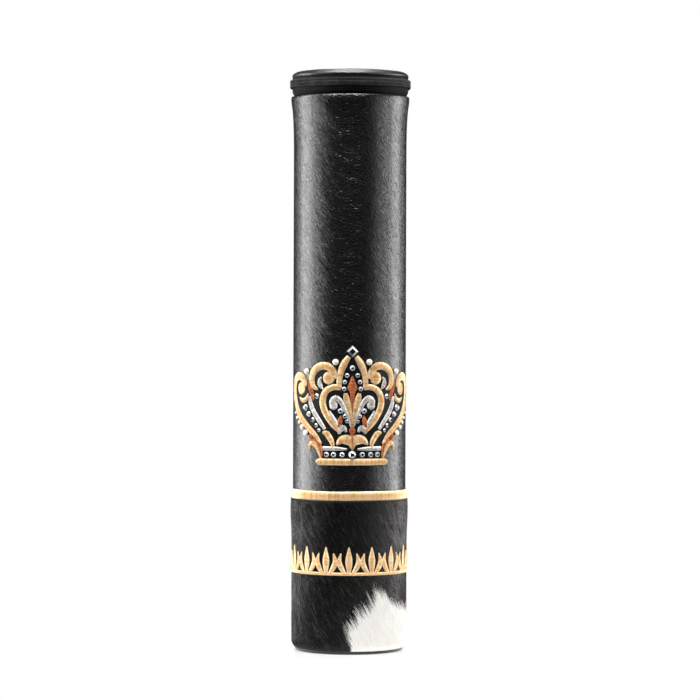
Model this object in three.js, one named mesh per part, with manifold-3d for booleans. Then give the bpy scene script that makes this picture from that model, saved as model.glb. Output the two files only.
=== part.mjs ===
// A round megillah case that stands on its base: a board tube in black leather, a hair-on hide round
// its foot, an embroidered crown on its front, and a padded lid that a coil zip closes.
// Millimetres, +Z up, the front faces -Y, and the origin is the middle of the base.
import * as THREE from "three";
import { mergeVertices } from "three/addons/utils/BufferGeometryUtils.js";
import Module from "manifold-3d";

const wasm = await Module();
wasm.setup();

// Driving sizes of the whole case
const caseHeight = 417;
const tubeRadius = 40; // outside of the leather
const zipDepth = 11.4; // middle of the zip below the top of the lid
const bandTop = 116.4; // top edge of the gold band
const roundSides = 40; // sides of every turned piece

// Walls and the gaps between them
const leatherThickness = 1.4;
const coreWall = 2.4;
const liningThickness = 0.8;
const layerGap = 0.2; // glue line between two layers
const seatGap = 0.3; // between pieces that rest on each other

// Foot of the case
const baseCoverHeight = 3;
const baseCoverThickness = 1.2;
const baseCoverInset = 1.1; // its rim stands this far inside the leather's face
const baseCornerRadius = 1.6;
const baseBoardThickness = 1.5;
const padThickness = 3;
const padEdge = 0.8;

// Hide sleeve and gold band
const hideThickness = 3; // skin and hair together
const hideFootRadius = 5.5;
const hideTopRadius = 0.8;
const hideWaist = 0.2; // the hair lies this much closer at mid height
const bandHeight = 7;
const bandThickness = 2.1;
const bandSeat = 0.2; // the band's back stands off the leather

// Hem of the leather, where it is folded over the zip tape
const hemHeight = 38.5; // the leather starts to swell this far below its top edge
const hemBulge = 2;
const hemPocketDepth = 12;
const hemPocketRamp = 3.5;
const hemPocketGap = 0.3;
const lipDepth = 13.6; // the lining comes down outside the core this far
const lipThickness = 0.7;
const coreBelowZip = 2.8;
const lipCrown = 0.6;

// Zip
const tapeThickness = 0.6;
const tapeOutset = 1.6; // the tape's face stands this far outside the leather's
const tapeTuck = 1.3; // in the hem the tape lies this much nearer the axis
const tapeShowing = 5.1; // between the hem and the coil
const tapeInHem = 8;
const tapeBulgeHeight = 3;
const tapeToMiddle = 0.9; // each tape stops short of the zip's middle line
const lidTapeShowing = 2;
const lidTapeFlange = 2.9;
const coilWidth = 6; // both rows
const coilGap = 0.2; // between the tape and the coil
const coilBackHeight = 0.5;
const coilMiddleHeight = 1.1;
const coilRidgeHeight = 1.7;
const coilRidgeOffset = 1.5; // from the middle line to the top of a row
const toothPitch = 1.5;
const toothReach = 0.65; // past the middle line
const toothRoot = 0.95; // short of the middle line
const teethPerModule = 3;

// Lid
const lidEdgeThickness = 1.2;
const lidEdgeOutset = 0.1; // outside the tape
const lidBoardThickness = 3.2;
const lidBoardGap = 0.4;
const lidFoamThickness = 2.3;
const lidLiningThickness = 0.8;
const lidLiningEdge = 0.3;

// Hinge tab at the back
const hingeTabAngle = (71 * Math.PI) / 180;
const hingeTabThickness = 1;
const hingeTabSteps = 10;
const hingeTabEdge = 0.4;

// Slider, parked at the closed end of the zip beside the hinge tab
const sliderParked = (133 * Math.PI) / 180; // round from the front
const sliderLength = 9;
const sliderHalfWidth = 3.4;
const sliderPlate = 0.9;
const sliderInnerPlate = 0.7;
const sliderClearance = 0.75; // over the coil
const sliderTapeClearance = 0.4;
const postLength = 2.4;
const postHalfWidth = 0.55;
const postFromEnd = 0.4;
const postToTeeth = 0.6;
const bailLength = 5.2;
const bailHeight = 2.45;
const bailWidth = 1.6;
const bailBar = 0.9;
const bailTopBar = 0.8;
const bailChamfer = 0.7;
const sunkJoint = 0.2; // joined pieces reach into each other

// Pull tab
const pullLength = 14;
const pullHalfWidth = 2.4;
const pullThickness = 0.9;
const pullBarRadius = 0.4;
const pullRise = 0.8; // its swing axis above the slider
const pullArmWidth = 1;
const pullTabStart = 3.6;
const pullTipRadius = 1.6;

// Crown embroidery. It fits a frame that stands on its base bar.
const crownCentre = 1.8; // to the right of the case's middle line
const crownHalfWidth = 56;
const crownHeight = 84.6;
const crownBase = 134.2;
const stitchHeight = 0.9;
const lowStitchHeight = 0.45;
const stitchSeat = 0.2; // the stitching's back stands off the leather
const stoneHeight = 1.5;
const pearlHeight = 2.2;
const domeSides = 12;
const ribbonStep = 3.1; // between the sections of a stitched ribbon

// Frieze embroidered on the hide: palmettes that stand on a rail
const friezeArc = (206 * Math.PI) / 180;
const friezeBase = 56.5;
const friezeHeight = 19.5;
const friezeRail = 1.8;
const friezeRailHeight = 1;
const friezePalmettes = 9;
const friezeLeafStep = 7.5;

// Heights that follow
const zipLine = caseHeight - zipDepth;
const hemTop = zipLine - coilWidth / 2 - tapeShowing;
const coreTop = zipLine - coreBelowZip;
const bandBase = bandTop - bandHeight;
const coreBase = baseCoverHeight + layerGap;
const hideBase = baseCoverHeight + seatGap;
const hideTop = bandBase - seatGap;

// Radii that follow
const coreOuter = tubeRadius - leatherThickness - layerGap;
const coreInner = coreOuter - coreWall;
const liningOuter = coreInner - layerGap;
const liningInner = liningOuter - liningThickness;
const sleeveInner = coreOuter + layerGap;
const tapeRadius = tubeRadius + tapeOutset;
const tapeInner = tapeRadius - tapeThickness;
const tapeHemRadius = tapeRadius - tapeTuck;
const coilInner = tapeRadius + coilGap;
const coilOuter = coilInner + coilRidgeHeight;
const coilMiddle = coilInner + coilMiddleHeight;

// Shares of the sizes that each outline follows
const hemShares = [
  [1, 0],
  [0.645, 0.1],
  [0.44, 0.26],
  [0.25, 0.56],
  [0.1, 1],
  [0.03, 0.92],
  [0, 0.65],
];
const hideShares = [
  [0.3, 1],
  [0.6, 0.9],
  [0.97, 0.1],
];
const bandShares = [
  [0.02, 0.55],
  [0.2, 0.95],
  [0.5, 1],
  [0.8, 0.95],
  [0.98, 0.55],
];
// Height above the lid's edge and distance from the axis
const lidRoundShares = [
  [0, 1],
  [0.27, 0.985],
  [0.49, 0.955],
  [0.7, 0.9],
  [0.94, 0.73],
  [1, 0],
];
const lidLinerShares = [
  [1, 0],
  [0.87, 0.73],
  [0.62, 0.895],
  [0.3, 0.955],
  [0.12, 0.968],
];
// Distance from the axis and height of the foam
const foamShares = [
  [0.97, 0],
  [0.93, 0.3],
  [0.75, 0.75],
  [0, 1],
];
// Place along the slider and half width of its plates
const sliderPlanShares = [
  [-0.5, 0.76],
  [-0.42, 0.97],
  [0, 1],
  [0.39, 0.88],
  [0.5, 0.64],
];
// One pitch of a row: where its edge turns from root to tip and back
const toothShares = [0.233, 0.4, 0.6, 0.767];
const innerPlateShare = 0.82;
const ribbonShoulderShare = 0.28;

// Crown: distance from its middle, height above its base and width, each a share of the crown's own sizes
const outerScrollShares = [
  [0.686, 0.665, 0.071],
  [0.691, 0.714, 0.093],
  [0.787, 0.749, 0.096],
  [0.9, 0.726, 0.1],
  [0.957, 0.654, 0.096],
  [0.929, 0.547, 0.093],
  [0.816, 0.426, 0.089],
  [0.648, 0.329, 0.082],
  [0.496, 0.248, 0.064],
  [0.413, 0.182, 0.029],
];
const outerBallShares = [0.757, 0.639, 0.077];
const outerCrescentShares = [
  [0.793, 0.565, 0.011],
  [0.729, 0.538, 0.05],
  [0.654, 0.55, 0.054],
  [0.622, 0.594, 0.014],
];
const copperSpikeShares = [
  [0.612, 0.702, 0.014],
  [0.588, 0.65, 0.05],
  [0.552, 0.6, 0.054],
  [0.527, 0.545, 0.014],
];
const silverRibbonShares = [
  [0.59, 0.54, 0.03],
  [0.571, 0.489, 0.062],
  [0.512, 0.414, 0.064],
  [0.429, 0.345, 0.055],
  [0.359, 0.305, 0.021],
];
const innerScrollShares = [
  [0.236, 0.733, 0.071],
  [0.248, 0.794, 0.082],
  [0.323, 0.837, 0.088],
  [0.43, 0.836, 0.091],
  [0.53, 0.79, 0.091],
  [0.561, 0.723, 0.086],
  [0.529, 0.662, 0.06],
  [0.46, 0.634, 0.018],
];
const innerBallShares = [0.304, 0.73, 0.077];
const flameShares = [
  [0.045, 0.913, 0.039],
  [0.107, 0.849, 0.075],
  [0.157, 0.771, 0.068],
  [0.17, 0.695, 0.061],
  [0.168, 0.655, 0.054],
];
const heartShares = [
  [0.15, 0.651, 0.061],
  [0.239, 0.655, 0.07],
  [0.334, 0.624, 0.079],
  [0.384, 0.56, 0.088],
  [0.377, 0.487, 0.088],
  [0.316, 0.407, 0.08],
  [0.229, 0.331, 0.068],
  [0.161, 0.283, 0.036],
];
const silverScrollShares = [
  [0.026, 0.34, 0.012],
  [0.051, 0.398, 0.03],
  [0.099, 0.466, 0.042],
  [0.148, 0.53, 0.052],
  [0.204, 0.558, 0.058],
  [0.254, 0.539, 0.055],
];
const silverBallShares = [0.236, 0.518, 0.05];
const leafPairShares = [
  [0.094, 0.585, 0.027],
  [0.073, 0.551, 0.06],
  [0.036, 0.489, 0.05],
  [0, 0.418, 0.03],
];
const copperFlameShares = [
  [0, 0.745, 0.012],
  [0, 0.702, 0.061],
  [0, 0.65, 0.118],
  [0, 0.622, 0.075],
  [0, 0.604, 0.029],
];
const lotusShares = [
  [0.191, 0.189, 0.021],
  [0.125, 0.216, 0.079],
  [0.061, 0.22, 0.104],
  [0, 0.196, 0.107],
];
const lotusDropShares = [
  [0, 0.229, 0.089],
  [0, 0.18, 0.093],
  [0, 0.132, 0.014],
];
const budShares = [0, 0.295, 0.036];
const silverStripShares = [
  [0.379, 0.141, 0.046],
  [0.211, 0.141, 0.046],
  [0.071, 0.136, 0.02],
];
const lowerLeafShares = [
  [0.593, 0.217, 0.018],
  [0.543, 0.217, 0.057],
  [0.489, 0.182, 0.052],
  [0.454, 0.142, 0.03],
  [0.436, 0.104, 0.011],
];
const hookShares = [
  [0.575, 0.118, 0.025],
  [0.592, 0.146, 0.046],
  [0.556, 0.162, 0.044],
  [0.507, 0.135, 0.044],
  [0.471, 0.099, 0.036],
  [0.446, 0.07, 0.014],
];
const smallLeafShares = [
  [0.372, 0.276, 0.016],
  [0.333, 0.268, 0.052],
  [0.288, 0.235, 0.06],
  [0.257, 0.201, 0.05],
  [0.245, 0.172, 0.018],
];
const baseBarShares = [
  [0.482, 0.029, 0.045],
  [0.46, 0.029, 0.08],
  [0.3, 0.029, 0.08],
  [0, 0.029, 0.08],
];
const jewelBandShares = [
  [0.393, 0.091, 0.084],
  [0, 0.091, 0.084],
];
const topStoneShares = [0, 0.953, 0.074];
const bandStoneShares = [0, 0.127, 0.238, 0.332];
const middleStoneShare = 0.05;
const sideStoneShare = 0.036;
const pearlShares = [
  [0.21, 0.864, 0.041],
  [0.634, 0.785, 0.041],
];
const stoneTableShare = 0.55;
const pearlShoulderShare = 0.72;
// Frieze: place across, height and width, each a share of the frieze's height
const palmetteShares = [
  [0, 0.04, 0.1],
  [0, 0.52, 0.25],
  [0, 1, 0.03],
];
const sideLeafShares = [
  [0.12, 0.05, 0.07],
  [0.26, 0.24, 0.17],
  [0.35, 0.48, 0.17],
  [0.29, 0.78, 0.03],
];

const root = new THREE.Group();
root.name = "megillah_case";

// Finishes
function finish(color, roughness, metalness = 0) {
  return new THREE.MeshStandardMaterial({ color, roughness, metalness });
}

const board = () => finish("#b79a6c", 0.9);
const leather = () => finish("#16161a", 0.42);
const hide = () => finish("#14100f", 0.8);
const fabric = () => finish("#1d1a1c", 0.95);
const foam = () => finish("#d9d4c8", 0.95);
const tape = () => finish("#0e0e10", 0.9);
const nylon = () => finish("#101012", 0.45);
const darkMetal = () => finish("#26262a", 0.35, 0.9);
const goldThread = () => finish("#e0b15c", 0.5, 0.3);
const silverThread = () => finish("#c9c4bb", 0.5, 0.3);
const copperThread = () => finish("#e0703f", 0.5, 0.3);
const stone = () => finish("#dfe6ee", 0.08, 0.1);
const pearl = () => finish("#f3e9d8", 0.25);

function add(name, geometry, material, parent = root) {
  const mesh = new THREE.Mesh(geometry, material);
  mesh.name = name;
  parent.add(mesh);
  return mesh;
}

// A turned piece: its outline runs counterclockwise in the plane of radius and height.
function turned(outline, sides = roundSides) {
  const points = outline.map(([radius, height]) => new THREE.Vector2(radius, height));
  const open = outline[0][0] > 0;
  if (open) points.push(points[0].clone());
  return new THREE.LatheGeometry(points, sides).rotateX(Math.PI / 2);
}

// A turned piece that other pieces hide on every side
const hidden = (outline) => turned(outline, roundSides / 2);

// A point on the case, by its angle round from the front
function around(angle, radius, height) {
  return new THREE.Vector3(radius * Math.sin(angle), -radius * Math.cos(angle), height);
}

function signedVolume(triangles) {
  return triangles.reduce((sum, [a, b, c]) => sum + a.dot(b.clone().cross(c)), 0) / 6;
}

function geometryOf(triangles) {
  const outward = signedVolume(triangles) > 0;
  const points = triangles.flatMap(([a, b, c]) => (outward ? [a, b, c] : [a, c, b]));
  return new THREE.BufferGeometry().setFromPoints(points);
}

// A fan over a flat or nearly flat polygon
function fan(points) {
  return points.slice(1, -1).map((point, i) => [points[0], point, points[i + 2]]);
}

// A solid through sections that have the same number of points
function loft(sections) {
  const triangles = [...fan([...sections[0]].reverse()), ...fan(sections.at(-1))];
  for (let i = 0; i + 1 < sections.length; i++) {
    const here = sections[i];
    const next = sections[i + 1];
    here.forEach((point, j) => {
      const k = (j + 1) % here.length;
      triangles.push([point, here[k], next[k]], [point, next[k], next[j]]);
    });
  }
  return geometryOf(triangles);
}

function solidOf(geometry) {
  const bare = new THREE.BufferGeometry();
  bare.setAttribute("position", geometry.getAttribute("position"));
  if (geometry.index) bare.setIndex(geometry.index);
  const merged = mergeVertices(bare);
  const mesh = new wasm.Mesh({
    numProp: 3,
    vertProperties: merged.attributes.position.array,
    triVerts: new Uint32Array(merged.index.array),
  });
  return new wasm.Manifold(mesh);
}

function joined(geometries) {
  const whole = geometries.map(solidOf).reduce((sum, solid) => sum.add(solid));
  const mesh = whole.getMesh();
  const geometry = new THREE.BufferGeometry();
  geometry.setAttribute("position", new THREE.BufferAttribute(mesh.vertProperties, 3));
  return geometry.setIndex(new THREE.BufferAttribute(mesh.triVerts, 1));
}

// Foot: the cover's rim holds the board, and the pad lies on the board inside the lining
const baseRadius = tubeRadius - baseCoverInset;
const dishRadius = baseRadius - baseCoverThickness;
const boardTop = baseCoverThickness + layerGap + baseBoardThickness;
add(
  "base_cover",
  turned([
    [0, 0],
    [baseRadius - baseCornerRadius, 0],
    [baseRadius - baseCornerRadius / 3, baseCornerRadius / 3],
    [baseRadius, baseCornerRadius],
    [baseRadius, baseCoverHeight],
    [dishRadius, baseCoverHeight],
    [dishRadius, baseCoverThickness],
    [0, baseCoverThickness],
  ]),
  leather(),
);
add(
  "base_board",
  hidden([
    [0, baseCoverThickness + layerGap],
    [dishRadius - seatGap, baseCoverThickness + layerGap],
    [dishRadius - seatGap, boardTop],
    [0, boardTop],
  ]),
  board(),
);
const padBase = boardTop + seatGap;
const padRadius = liningInner - seatGap;
add(
  "base_pad",
  hidden([
    [0, padBase],
    [padRadius, padBase],
    [padRadius, padBase + padThickness - padEdge],
    [padRadius - padEdge, padBase + padThickness],
    [0, padBase + padThickness],
  ]),
  fabric(),
);

// Core tube and the lining that is turned over its rim
add(
  "core_tube",
  turned([
    [coreInner, coreBase],
    [coreOuter, coreBase],
    [coreOuter, coreTop],
    [coreInner, coreTop],
  ]),
  board(),
);
const lipInner = coreOuter + layerGap;
const lipOuter = lipInner + lipThickness;
const liningTop = coreTop + layerGap + lipCrown;
add(
  "body_lining",
  turned([
    [liningInner, coreBase + layerGap],
    [liningOuter, coreBase + layerGap],
    [liningOuter, coreTop + layerGap],
    [lipInner, coreTop + layerGap],
    [lipInner, liningTop - lipDepth],
    [lipOuter, liningTop - lipDepth],
    [lipOuter, liningTop],
    [liningInner, liningTop],
  ]),
  fabric(),
);

// Leather sleeve: its hem swells over the zip tape, which is sewn into a pocket behind it
const pocketRadius = tapeHemRadius + hemPocketGap;
add(
  "leather_sleeve",
  turned([
    [sleeveInner, bandBase],
    [tubeRadius, bandBase],
    ...hemShares.map(([down, out]) => [tubeRadius + out * hemBulge, hemTop - down * hemHeight]),
    [pocketRadius, hemTop],
    [pocketRadius, hemTop - hemPocketDepth + hemPocketRamp],
    [sleeveInner, hemTop - hemPocketDepth],
  ]),
  leather(),
);

// Hide sleeve, rounded in at its foot, and the gold band above it
const hideOuter = sleeveInner + hideThickness;
const hideHeight = hideTop - hideBase;
const footInset = hideThickness * (2 / 3);
add(
  "hide_sleeve",
  turned([
    [sleeveInner, hideBase],
    [hideOuter - footInset, hideBase],
    [hideOuter - footInset / 3, hideBase + hideFootRadius / 3],
    [hideOuter, hideBase + hideFootRadius],
    ...hideShares.map(([up, inward]) => [hideOuter - inward * hideWaist, hideBase + up * hideHeight]),
    [hideOuter - hideTopRadius, hideTop],
    [sleeveInner, hideTop],
  ]),
  hide(),
);
const bandInner = tubeRadius + bandSeat;
add(
  "gold_band",
  turned([
    [bandInner, bandBase + layerGap],
    ...bandShares.map(([up, out]) => [
      bandInner + out * (bandThickness - bandSeat),
      bandBase + layerGap + up * (bandHeight - layerGap),
    ]),
    [bandInner, bandTop],
  ]),
  goldThread(),
);

// Zip tapes, in one round each, behind the coil
add(
  "body_zip_tape",
  turned([
    [tapeHemRadius - tapeThickness, hemTop - tapeInHem],
    [tapeHemRadius, hemTop - tapeInHem],
    [tapeHemRadius, hemTop],
    [tapeRadius, hemTop + tapeBulgeHeight],
    [tapeRadius, zipLine - tapeToMiddle],
    [tapeInner, zipLine - tapeToMiddle],
    [tapeInner, hemTop + tapeBulgeHeight],
    [tapeHemRadius - tapeThickness, hemTop + tapeThickness / 2],
  ]),
  tape(),
);
const lidEdge = zipLine + coilWidth / 2 + lidTapeShowing;
const flangeTop = lidEdge - seatGap;
add(
  "lid_zip_tape",
  turned([
    [tapeInner, zipLine + tapeToMiddle],
    [tapeRadius, zipLine + tapeToMiddle],
    [tapeRadius, flangeTop],
    [tapeRadius - lidTapeFlange, flangeTop],
    [tapeRadius - lidTapeFlange, flangeTop - tapeThickness],
    [tapeInner, flangeTop - tapeThickness],
  ]),
  tape(),
);

// Triangles between two lines of points that run the same way round, each point with its place
function bridge(one, other) {
  const triangles = [];
  let i = 0;
  let j = 0;
  while (i + 1 < one.length || j + 1 < other.length) {
    const stepOne =
      j + 1 === other.length ||
      (i + 1 < one.length && one[i].place + one[i + 1].place < other[j].place + other[j + 1].place);
    if (stepOne) {
      triangles.push([one[i].point, other[j].point, one[i + 1].point]);
      i += 1;
    } else {
      triangles.push([one[i].point, other[j].point, other[j + 1].point]);
      j += 1;
    }
  }
  return triangles;
}

// One row of the coil. Its teeth reach past the middle line, between those of the other row.
const pitchAngle = toothPitch / coilMiddle;
const postEnd = sliderLength / 2 - postFromEnd - postLength;
const teethStart = sliderParked + (postEnd - postToTeeth) / coilMiddle;
const teethArc = teethStart + Math.PI - hingeTabAngle / 2; // round the front to the hinge tab
const zipModules = Math.floor((teethArc * coilMiddle - seatGap) / (toothPitch * teethPerModule));

function coilRow(side) {
  const phase = side > 0 ? 1 / 2 : 0;
  const at = (place, radius, offset) => ({
    place,
    point: around(teethStart - place * pitchAngle, radius, zipLine + side * offset),
  });
  const teeth = zipModules * teethPerModule;
  const plain = (radius, offset) =>
    Array.from({ length: zipModules + 1 }, (_, i) => at(i * teethPerModule, radius, offset));
  const endOffset = side > 0 ? -toothReach : toothRoot;
  const edge = [at(0, coilMiddle, endOffset)];
  for (let tooth = 0; tooth <= teeth; tooth++) {
    toothShares.forEach((share, i) => {
      const place = tooth + share - phase;
      const isTip = i === 1 || i === 2;
      if (place > 0 && place < teeth) edge.push(at(place, coilMiddle, isTip ? -toothReach : toothRoot));
    });
  }
  edge.push(at(teeth, coilMiddle, endOffset));
  const lines = [
    plain(coilInner, coilWidth / 2),
    plain(coilInner + coilBackHeight, coilWidth / 2),
    plain(coilOuter, coilRidgeOffset),
    edge,
    plain(coilInner, toothRoot),
  ];
  const triangles = lines.flatMap((line, i) => bridge(line, lines[(i + 1) % lines.length]));
  const first = lines.map((line) => line[0].point);
  const last = lines.map((line) => line.at(-1).point);
  triangles.push(...fan(first.reverse()), ...fan(last));
  return geometryOf(triangles);
}
add("body_zip_coil", coilRow(-1), nylon());
add("lid_zip_coil", coilRow(1), nylon());

// Lid: leather cover over foam and board, with its lining below
const lidRadius = tapeRadius + lidEdgeOutset;
const lidHeight = caseHeight - lidEdge;
const lidInside = lidRadius - lidEdgeThickness;
add(
  "lid_cover",
  turned([
    ...lidRoundShares.map(([up, out]) => [out * lidRadius, lidEdge + up * lidHeight]),
    ...lidLinerShares.map(([up, out]) => [out * lidRadius, lidEdge + up * (lidHeight - lidEdgeThickness)]),
    [lidInside, lidEdge],
  ]),
  leather(),
);
const boardRadius = tapeRadius - lidTapeFlange - lidBoardGap;
const lidBoardBase = flangeTop - tapeThickness;
const lidBoardTop = lidBoardBase + lidBoardThickness;
add(
  "lid_board",
  hidden([
    [0, lidBoardBase],
    [boardRadius, lidBoardBase],
    [boardRadius, lidBoardTop],
    [0, lidBoardTop],
  ]),
  board(),
);
const foamBase = lidBoardTop + layerGap;
add(
  "lid_foam",
  hidden([
    [0, foamBase],
    ...foamShares.map(([out, up]) => [out * boardRadius, foamBase + up * lidFoamThickness]),
  ]),
  foam(),
);
const lidLiningTop = lidBoardBase - seatGap;
const lidLiningRadius = tapeInner - seatGap;
add(
  "lid_lining",
  turned([
    [0, lidLiningTop - lidLiningThickness],
    [lidLiningRadius - lidLiningEdge, lidLiningTop - lidLiningThickness],
    [lidLiningRadius, lidLiningTop - lidLiningThickness + lidLiningEdge],
    [lidLiningRadius, lidLiningTop],
    [0, lidLiningTop],
  ]),
  fabric(),
);

// Hinge tab: a strip of leather over both tapes at the back
const tabInner = tapeRadius + layerGap;
const tabOuter = tabInner + hingeTabThickness;
const tabBase = hemTop + hingeTabEdge;
const tabTop = lidEdge - layerGap;
const tabSections = Array.from({ length: hingeTabSteps + 1 }, (_, i) => {
  const angle = Math.PI + (i / hingeTabSteps - 1 / 2) * hingeTabAngle;
  return [
    around(angle, tabInner, tabBase),
    around(angle, tabOuter, tabBase + hingeTabEdge),
    around(angle, tabOuter, tabTop - hingeTabEdge),
    around(angle, tabInner, tabTop),
  ];
});
add("hinge_tab", loft(tabSections), leather());

// Slider: in its own frame X runs along the zip away from the hinge, and Y points out of the case
const sliderFrame = new THREE.Group();
sliderFrame.position.z = zipLine;
sliderFrame.rotation.z = sliderParked + Math.PI;
root.add(sliderFrame);

function bent(along, outward, height) {
  const angle = along / coilMiddle;
  return new THREE.Vector3(outward * Math.sin(angle), outward * Math.cos(angle), height);
}

function bentPlate(plan, inside, outside) {
  return loft(
    plan.map(([along, halfWidth]) => [
      bent(along, inside, -halfWidth),
      bent(along, outside, -halfWidth),
      bent(along, outside, halfWidth),
      bent(along, inside, halfWidth),
    ]),
  );
}
const sliderPlan = sliderPlanShares.map(([along, width]) => [
  along * sliderLength,
  width * sliderHalfWidth,
]);
const innerPlateTop = tapeInner - sliderTapeClearance;
const outerPlateBase = coilOuter + sliderClearance;
const sliderTop = outerPlateBase + sliderPlate;
const innerPlan = sliderPlan.map(([along, halfWidth]) => [along, halfWidth * innerPlateShare]);
const postPlan = [
  [-sliderLength / 2 + postFromEnd, postHalfWidth],
  [-sliderLength / 2 + postFromEnd + postLength, postHalfWidth],
];
const bailOutline = new THREE.Shape([
  new THREE.Vector2(-bailLength / 2, sliderTop - sunkJoint),
  new THREE.Vector2(-bailLength / 2 + bailBar, sliderTop - sunkJoint),
  new THREE.Vector2(-bailLength / 2 + bailBar, sliderTop + bailHeight - bailTopBar),
  new THREE.Vector2(bailLength / 2 - bailBar, sliderTop + bailHeight - bailTopBar),
  new THREE.Vector2(bailLength / 2 - bailBar, sliderTop - sunkJoint),
  new THREE.Vector2(bailLength / 2, sliderTop - sunkJoint),
  new THREE.Vector2(bailLength / 2, sliderTop + bailHeight - bailChamfer),
  new THREE.Vector2(bailLength / 2 - bailChamfer, sliderTop + bailHeight),
  new THREE.Vector2(-bailLength / 2 + bailChamfer, sliderTop + bailHeight),
  new THREE.Vector2(-bailLength / 2, sliderTop + bailHeight - bailChamfer),
]);
const bail = new THREE.ExtrudeGeometry(bailOutline, { depth: bailWidth, bevelEnabled: false });
bail.translate(0, 0, -bailWidth / 2);
add(
  "slider_body",
  joined([
    bentPlate(sliderPlan, outerPlateBase, sliderTop),
    bentPlate(innerPlan, innerPlateTop - sliderInnerPlate, innerPlateTop),
    bentPlate(postPlan, innerPlateTop - sunkJoint, outerPlateBase + sunkJoint),
    bail,
  ]),
  darkMetal(),
  sliderFrame,
);

// Pull tab: a bar under the bail, two arms past it, and the tab that they carry
const pullBar = new THREE.CylinderGeometry(pullBarRadius, pullBarRadius, pullHalfWidth * 2 - sunkJoint, 8);
pullBar.rotateX(Math.PI / 2);
const pullArms = [-1, 1].map((side) => {
  const arm = new THREE.BoxGeometry(pullTabStart + sunkJoint + pullBarRadius, pullThickness, pullArmWidth);
  const middle = (pullTabStart + sunkJoint - pullBarRadius) / 2;
  return arm.translate(middle, 0, side * (pullHalfWidth - pullArmWidth / 2));
});
const tabOutline = new THREE.Shape();
tabOutline.moveTo(pullTabStart, -pullHalfWidth);
tabOutline.lineTo(pullLength - pullTipRadius, -pullHalfWidth);
tabOutline.quadraticCurveTo(pullLength, -pullHalfWidth, pullLength, 0);
tabOutline.quadraticCurveTo(pullLength, pullHalfWidth, pullLength - pullTipRadius, pullHalfWidth);
tabOutline.lineTo(pullTabStart, pullHalfWidth);
const pullBlade = new THREE.ExtrudeGeometry(tabOutline, {
  depth: pullThickness,
  bevelEnabled: false,
  curveSegments: 4,
});
pullBlade.translate(0, 0, -pullThickness / 2).rotateX(Math.PI / 2);
const pull = add("pull_tab", joined([pullBar, ...pullArms, pullBlade]), darkMetal(), sliderFrame);
pull.position.y = sliderTop + pullRise;

// Embroidery: each piece is a ribbon or a dome that follows the round face that it is stitched to
const leatherFace = { radius: tubeRadius, base: crownBase };
const hideFace = { radius: hideOuter, base: friezeBase };

function onFace(face, across, up, height) {
  return around(across / face.radius, face.radius + stitchSeat + height, face.base + up);
}

// A ribbon through places that each give its distance across, its height and its width
function ribbon(face, places, height, step, shoulder = ribbonShoulderShare) {
  const curve = new THREE.CatmullRomCurve3(places.map((place) => new THREE.Vector3(...place)));
  const steps = Math.max(places.length - 1, Math.round(curve.getLength() / step));
  const sections = [];
  for (let i = 0; i <= steps; i++) {
    const here = curve.getPointAt(i / steps);
    const heading = curve.getTangentAt(i / steps);
    const length = Math.hypot(heading.x, heading.y);
    const edge = (share, rise) => {
      const reach = (share * here.z) / length;
      return onFace(face, here.x - heading.y * reach, here.y + heading.x * reach, rise);
    };
    const top = shoulder > 0 ? [edge(-shoulder, height), edge(shoulder, height)] : [edge(0, height)];
    sections.push([edge(-1 / 2, 0), ...top, edge(1 / 2, 0)]);
  }
  return loft(sections);
}

function disc(face, across, up, sides, turn, levels) {
  const ring = ([size, rise]) =>
    Array.from({ length: sides }, (_, i) => {
      const angle = turn + (i / sides) * 2 * Math.PI;
      return onFace(face, across + size * Math.cos(angle), up + size * Math.sin(angle), rise);
    });
  return loft(levels.map(ring));
}

// Shares of the crown to millimetres, on one side of its middle line
function placed(shares, side) {
  return shares.map(([out, up, width]) => [
    crownCentre + side * out * crownHalfWidth,
    up * crownHeight,
    width * crownHalfWidth,
  ]);
}

function crownRibbon(shares, side, height = stitchHeight) {
  return ribbon(leatherFace, placed(shares, side), height, ribbonStep);
}

function crownDome(shares, side, height, table) {
  const [[across, up, radius]] = placed([shares], side);
  const levels = [
    [radius, 0],
    [radius * table, height],
  ];
  return disc(leatherFace, across, up, domeSides, 0, levels);
}

const ballShare = ribbonShoulderShare * 2;
for (const [side, hand] of [
  [-1, "left"],
  [1, "right"],
]) {
  const scroll = (ribbonShares, ballShares) =>
    joined([crownRibbon(ribbonShares, side), crownDome(ballShares, side, stitchHeight, ballShare)]);
  const arch = joined([crownRibbon(flameShares, side), crownRibbon(heartShares, side)]);
  add(`crown_outer_scroll_${hand}`, scroll(outerScrollShares, outerBallShares), goldThread());
  add(`crown_inner_scroll_${hand}`, scroll(innerScrollShares, innerBallShares), goldThread());
  add(`crown_arch_${hand}`, arch, goldThread());
  add(`crown_silver_scroll_${hand}`, scroll(silverScrollShares, silverBallShares), silverThread());
  add(`crown_silver_ribbon_${hand}`, crownRibbon(silverRibbonShares, side), silverThread());
  add(`crown_copper_spike_${hand}`, crownRibbon(copperSpikeShares, side), copperThread());
  add(`crown_crescent_${hand}`, crownRibbon(outerCrescentShares, side), goldThread());
  add(`crown_lower_leaf_${hand}`, crownRibbon(lowerLeafShares, side), copperThread());
  add(`crown_hook_${hand}`, crownRibbon(hookShares, side), goldThread());
  add(`crown_small_leaf_${hand}`, crownRibbon(smallLeafShares, side), goldThread());
  add(`crown_silver_strip_${hand}`, crownRibbon(silverStripShares, side), silverThread());
  pearlShares.forEach((shares, i) => {
    const bead = crownDome(shares, side, pearlHeight, pearlShoulderShare);
    add(`crown_pearl_${hand}_${i + 1}`, bead, pearl());
  });
}

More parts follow.
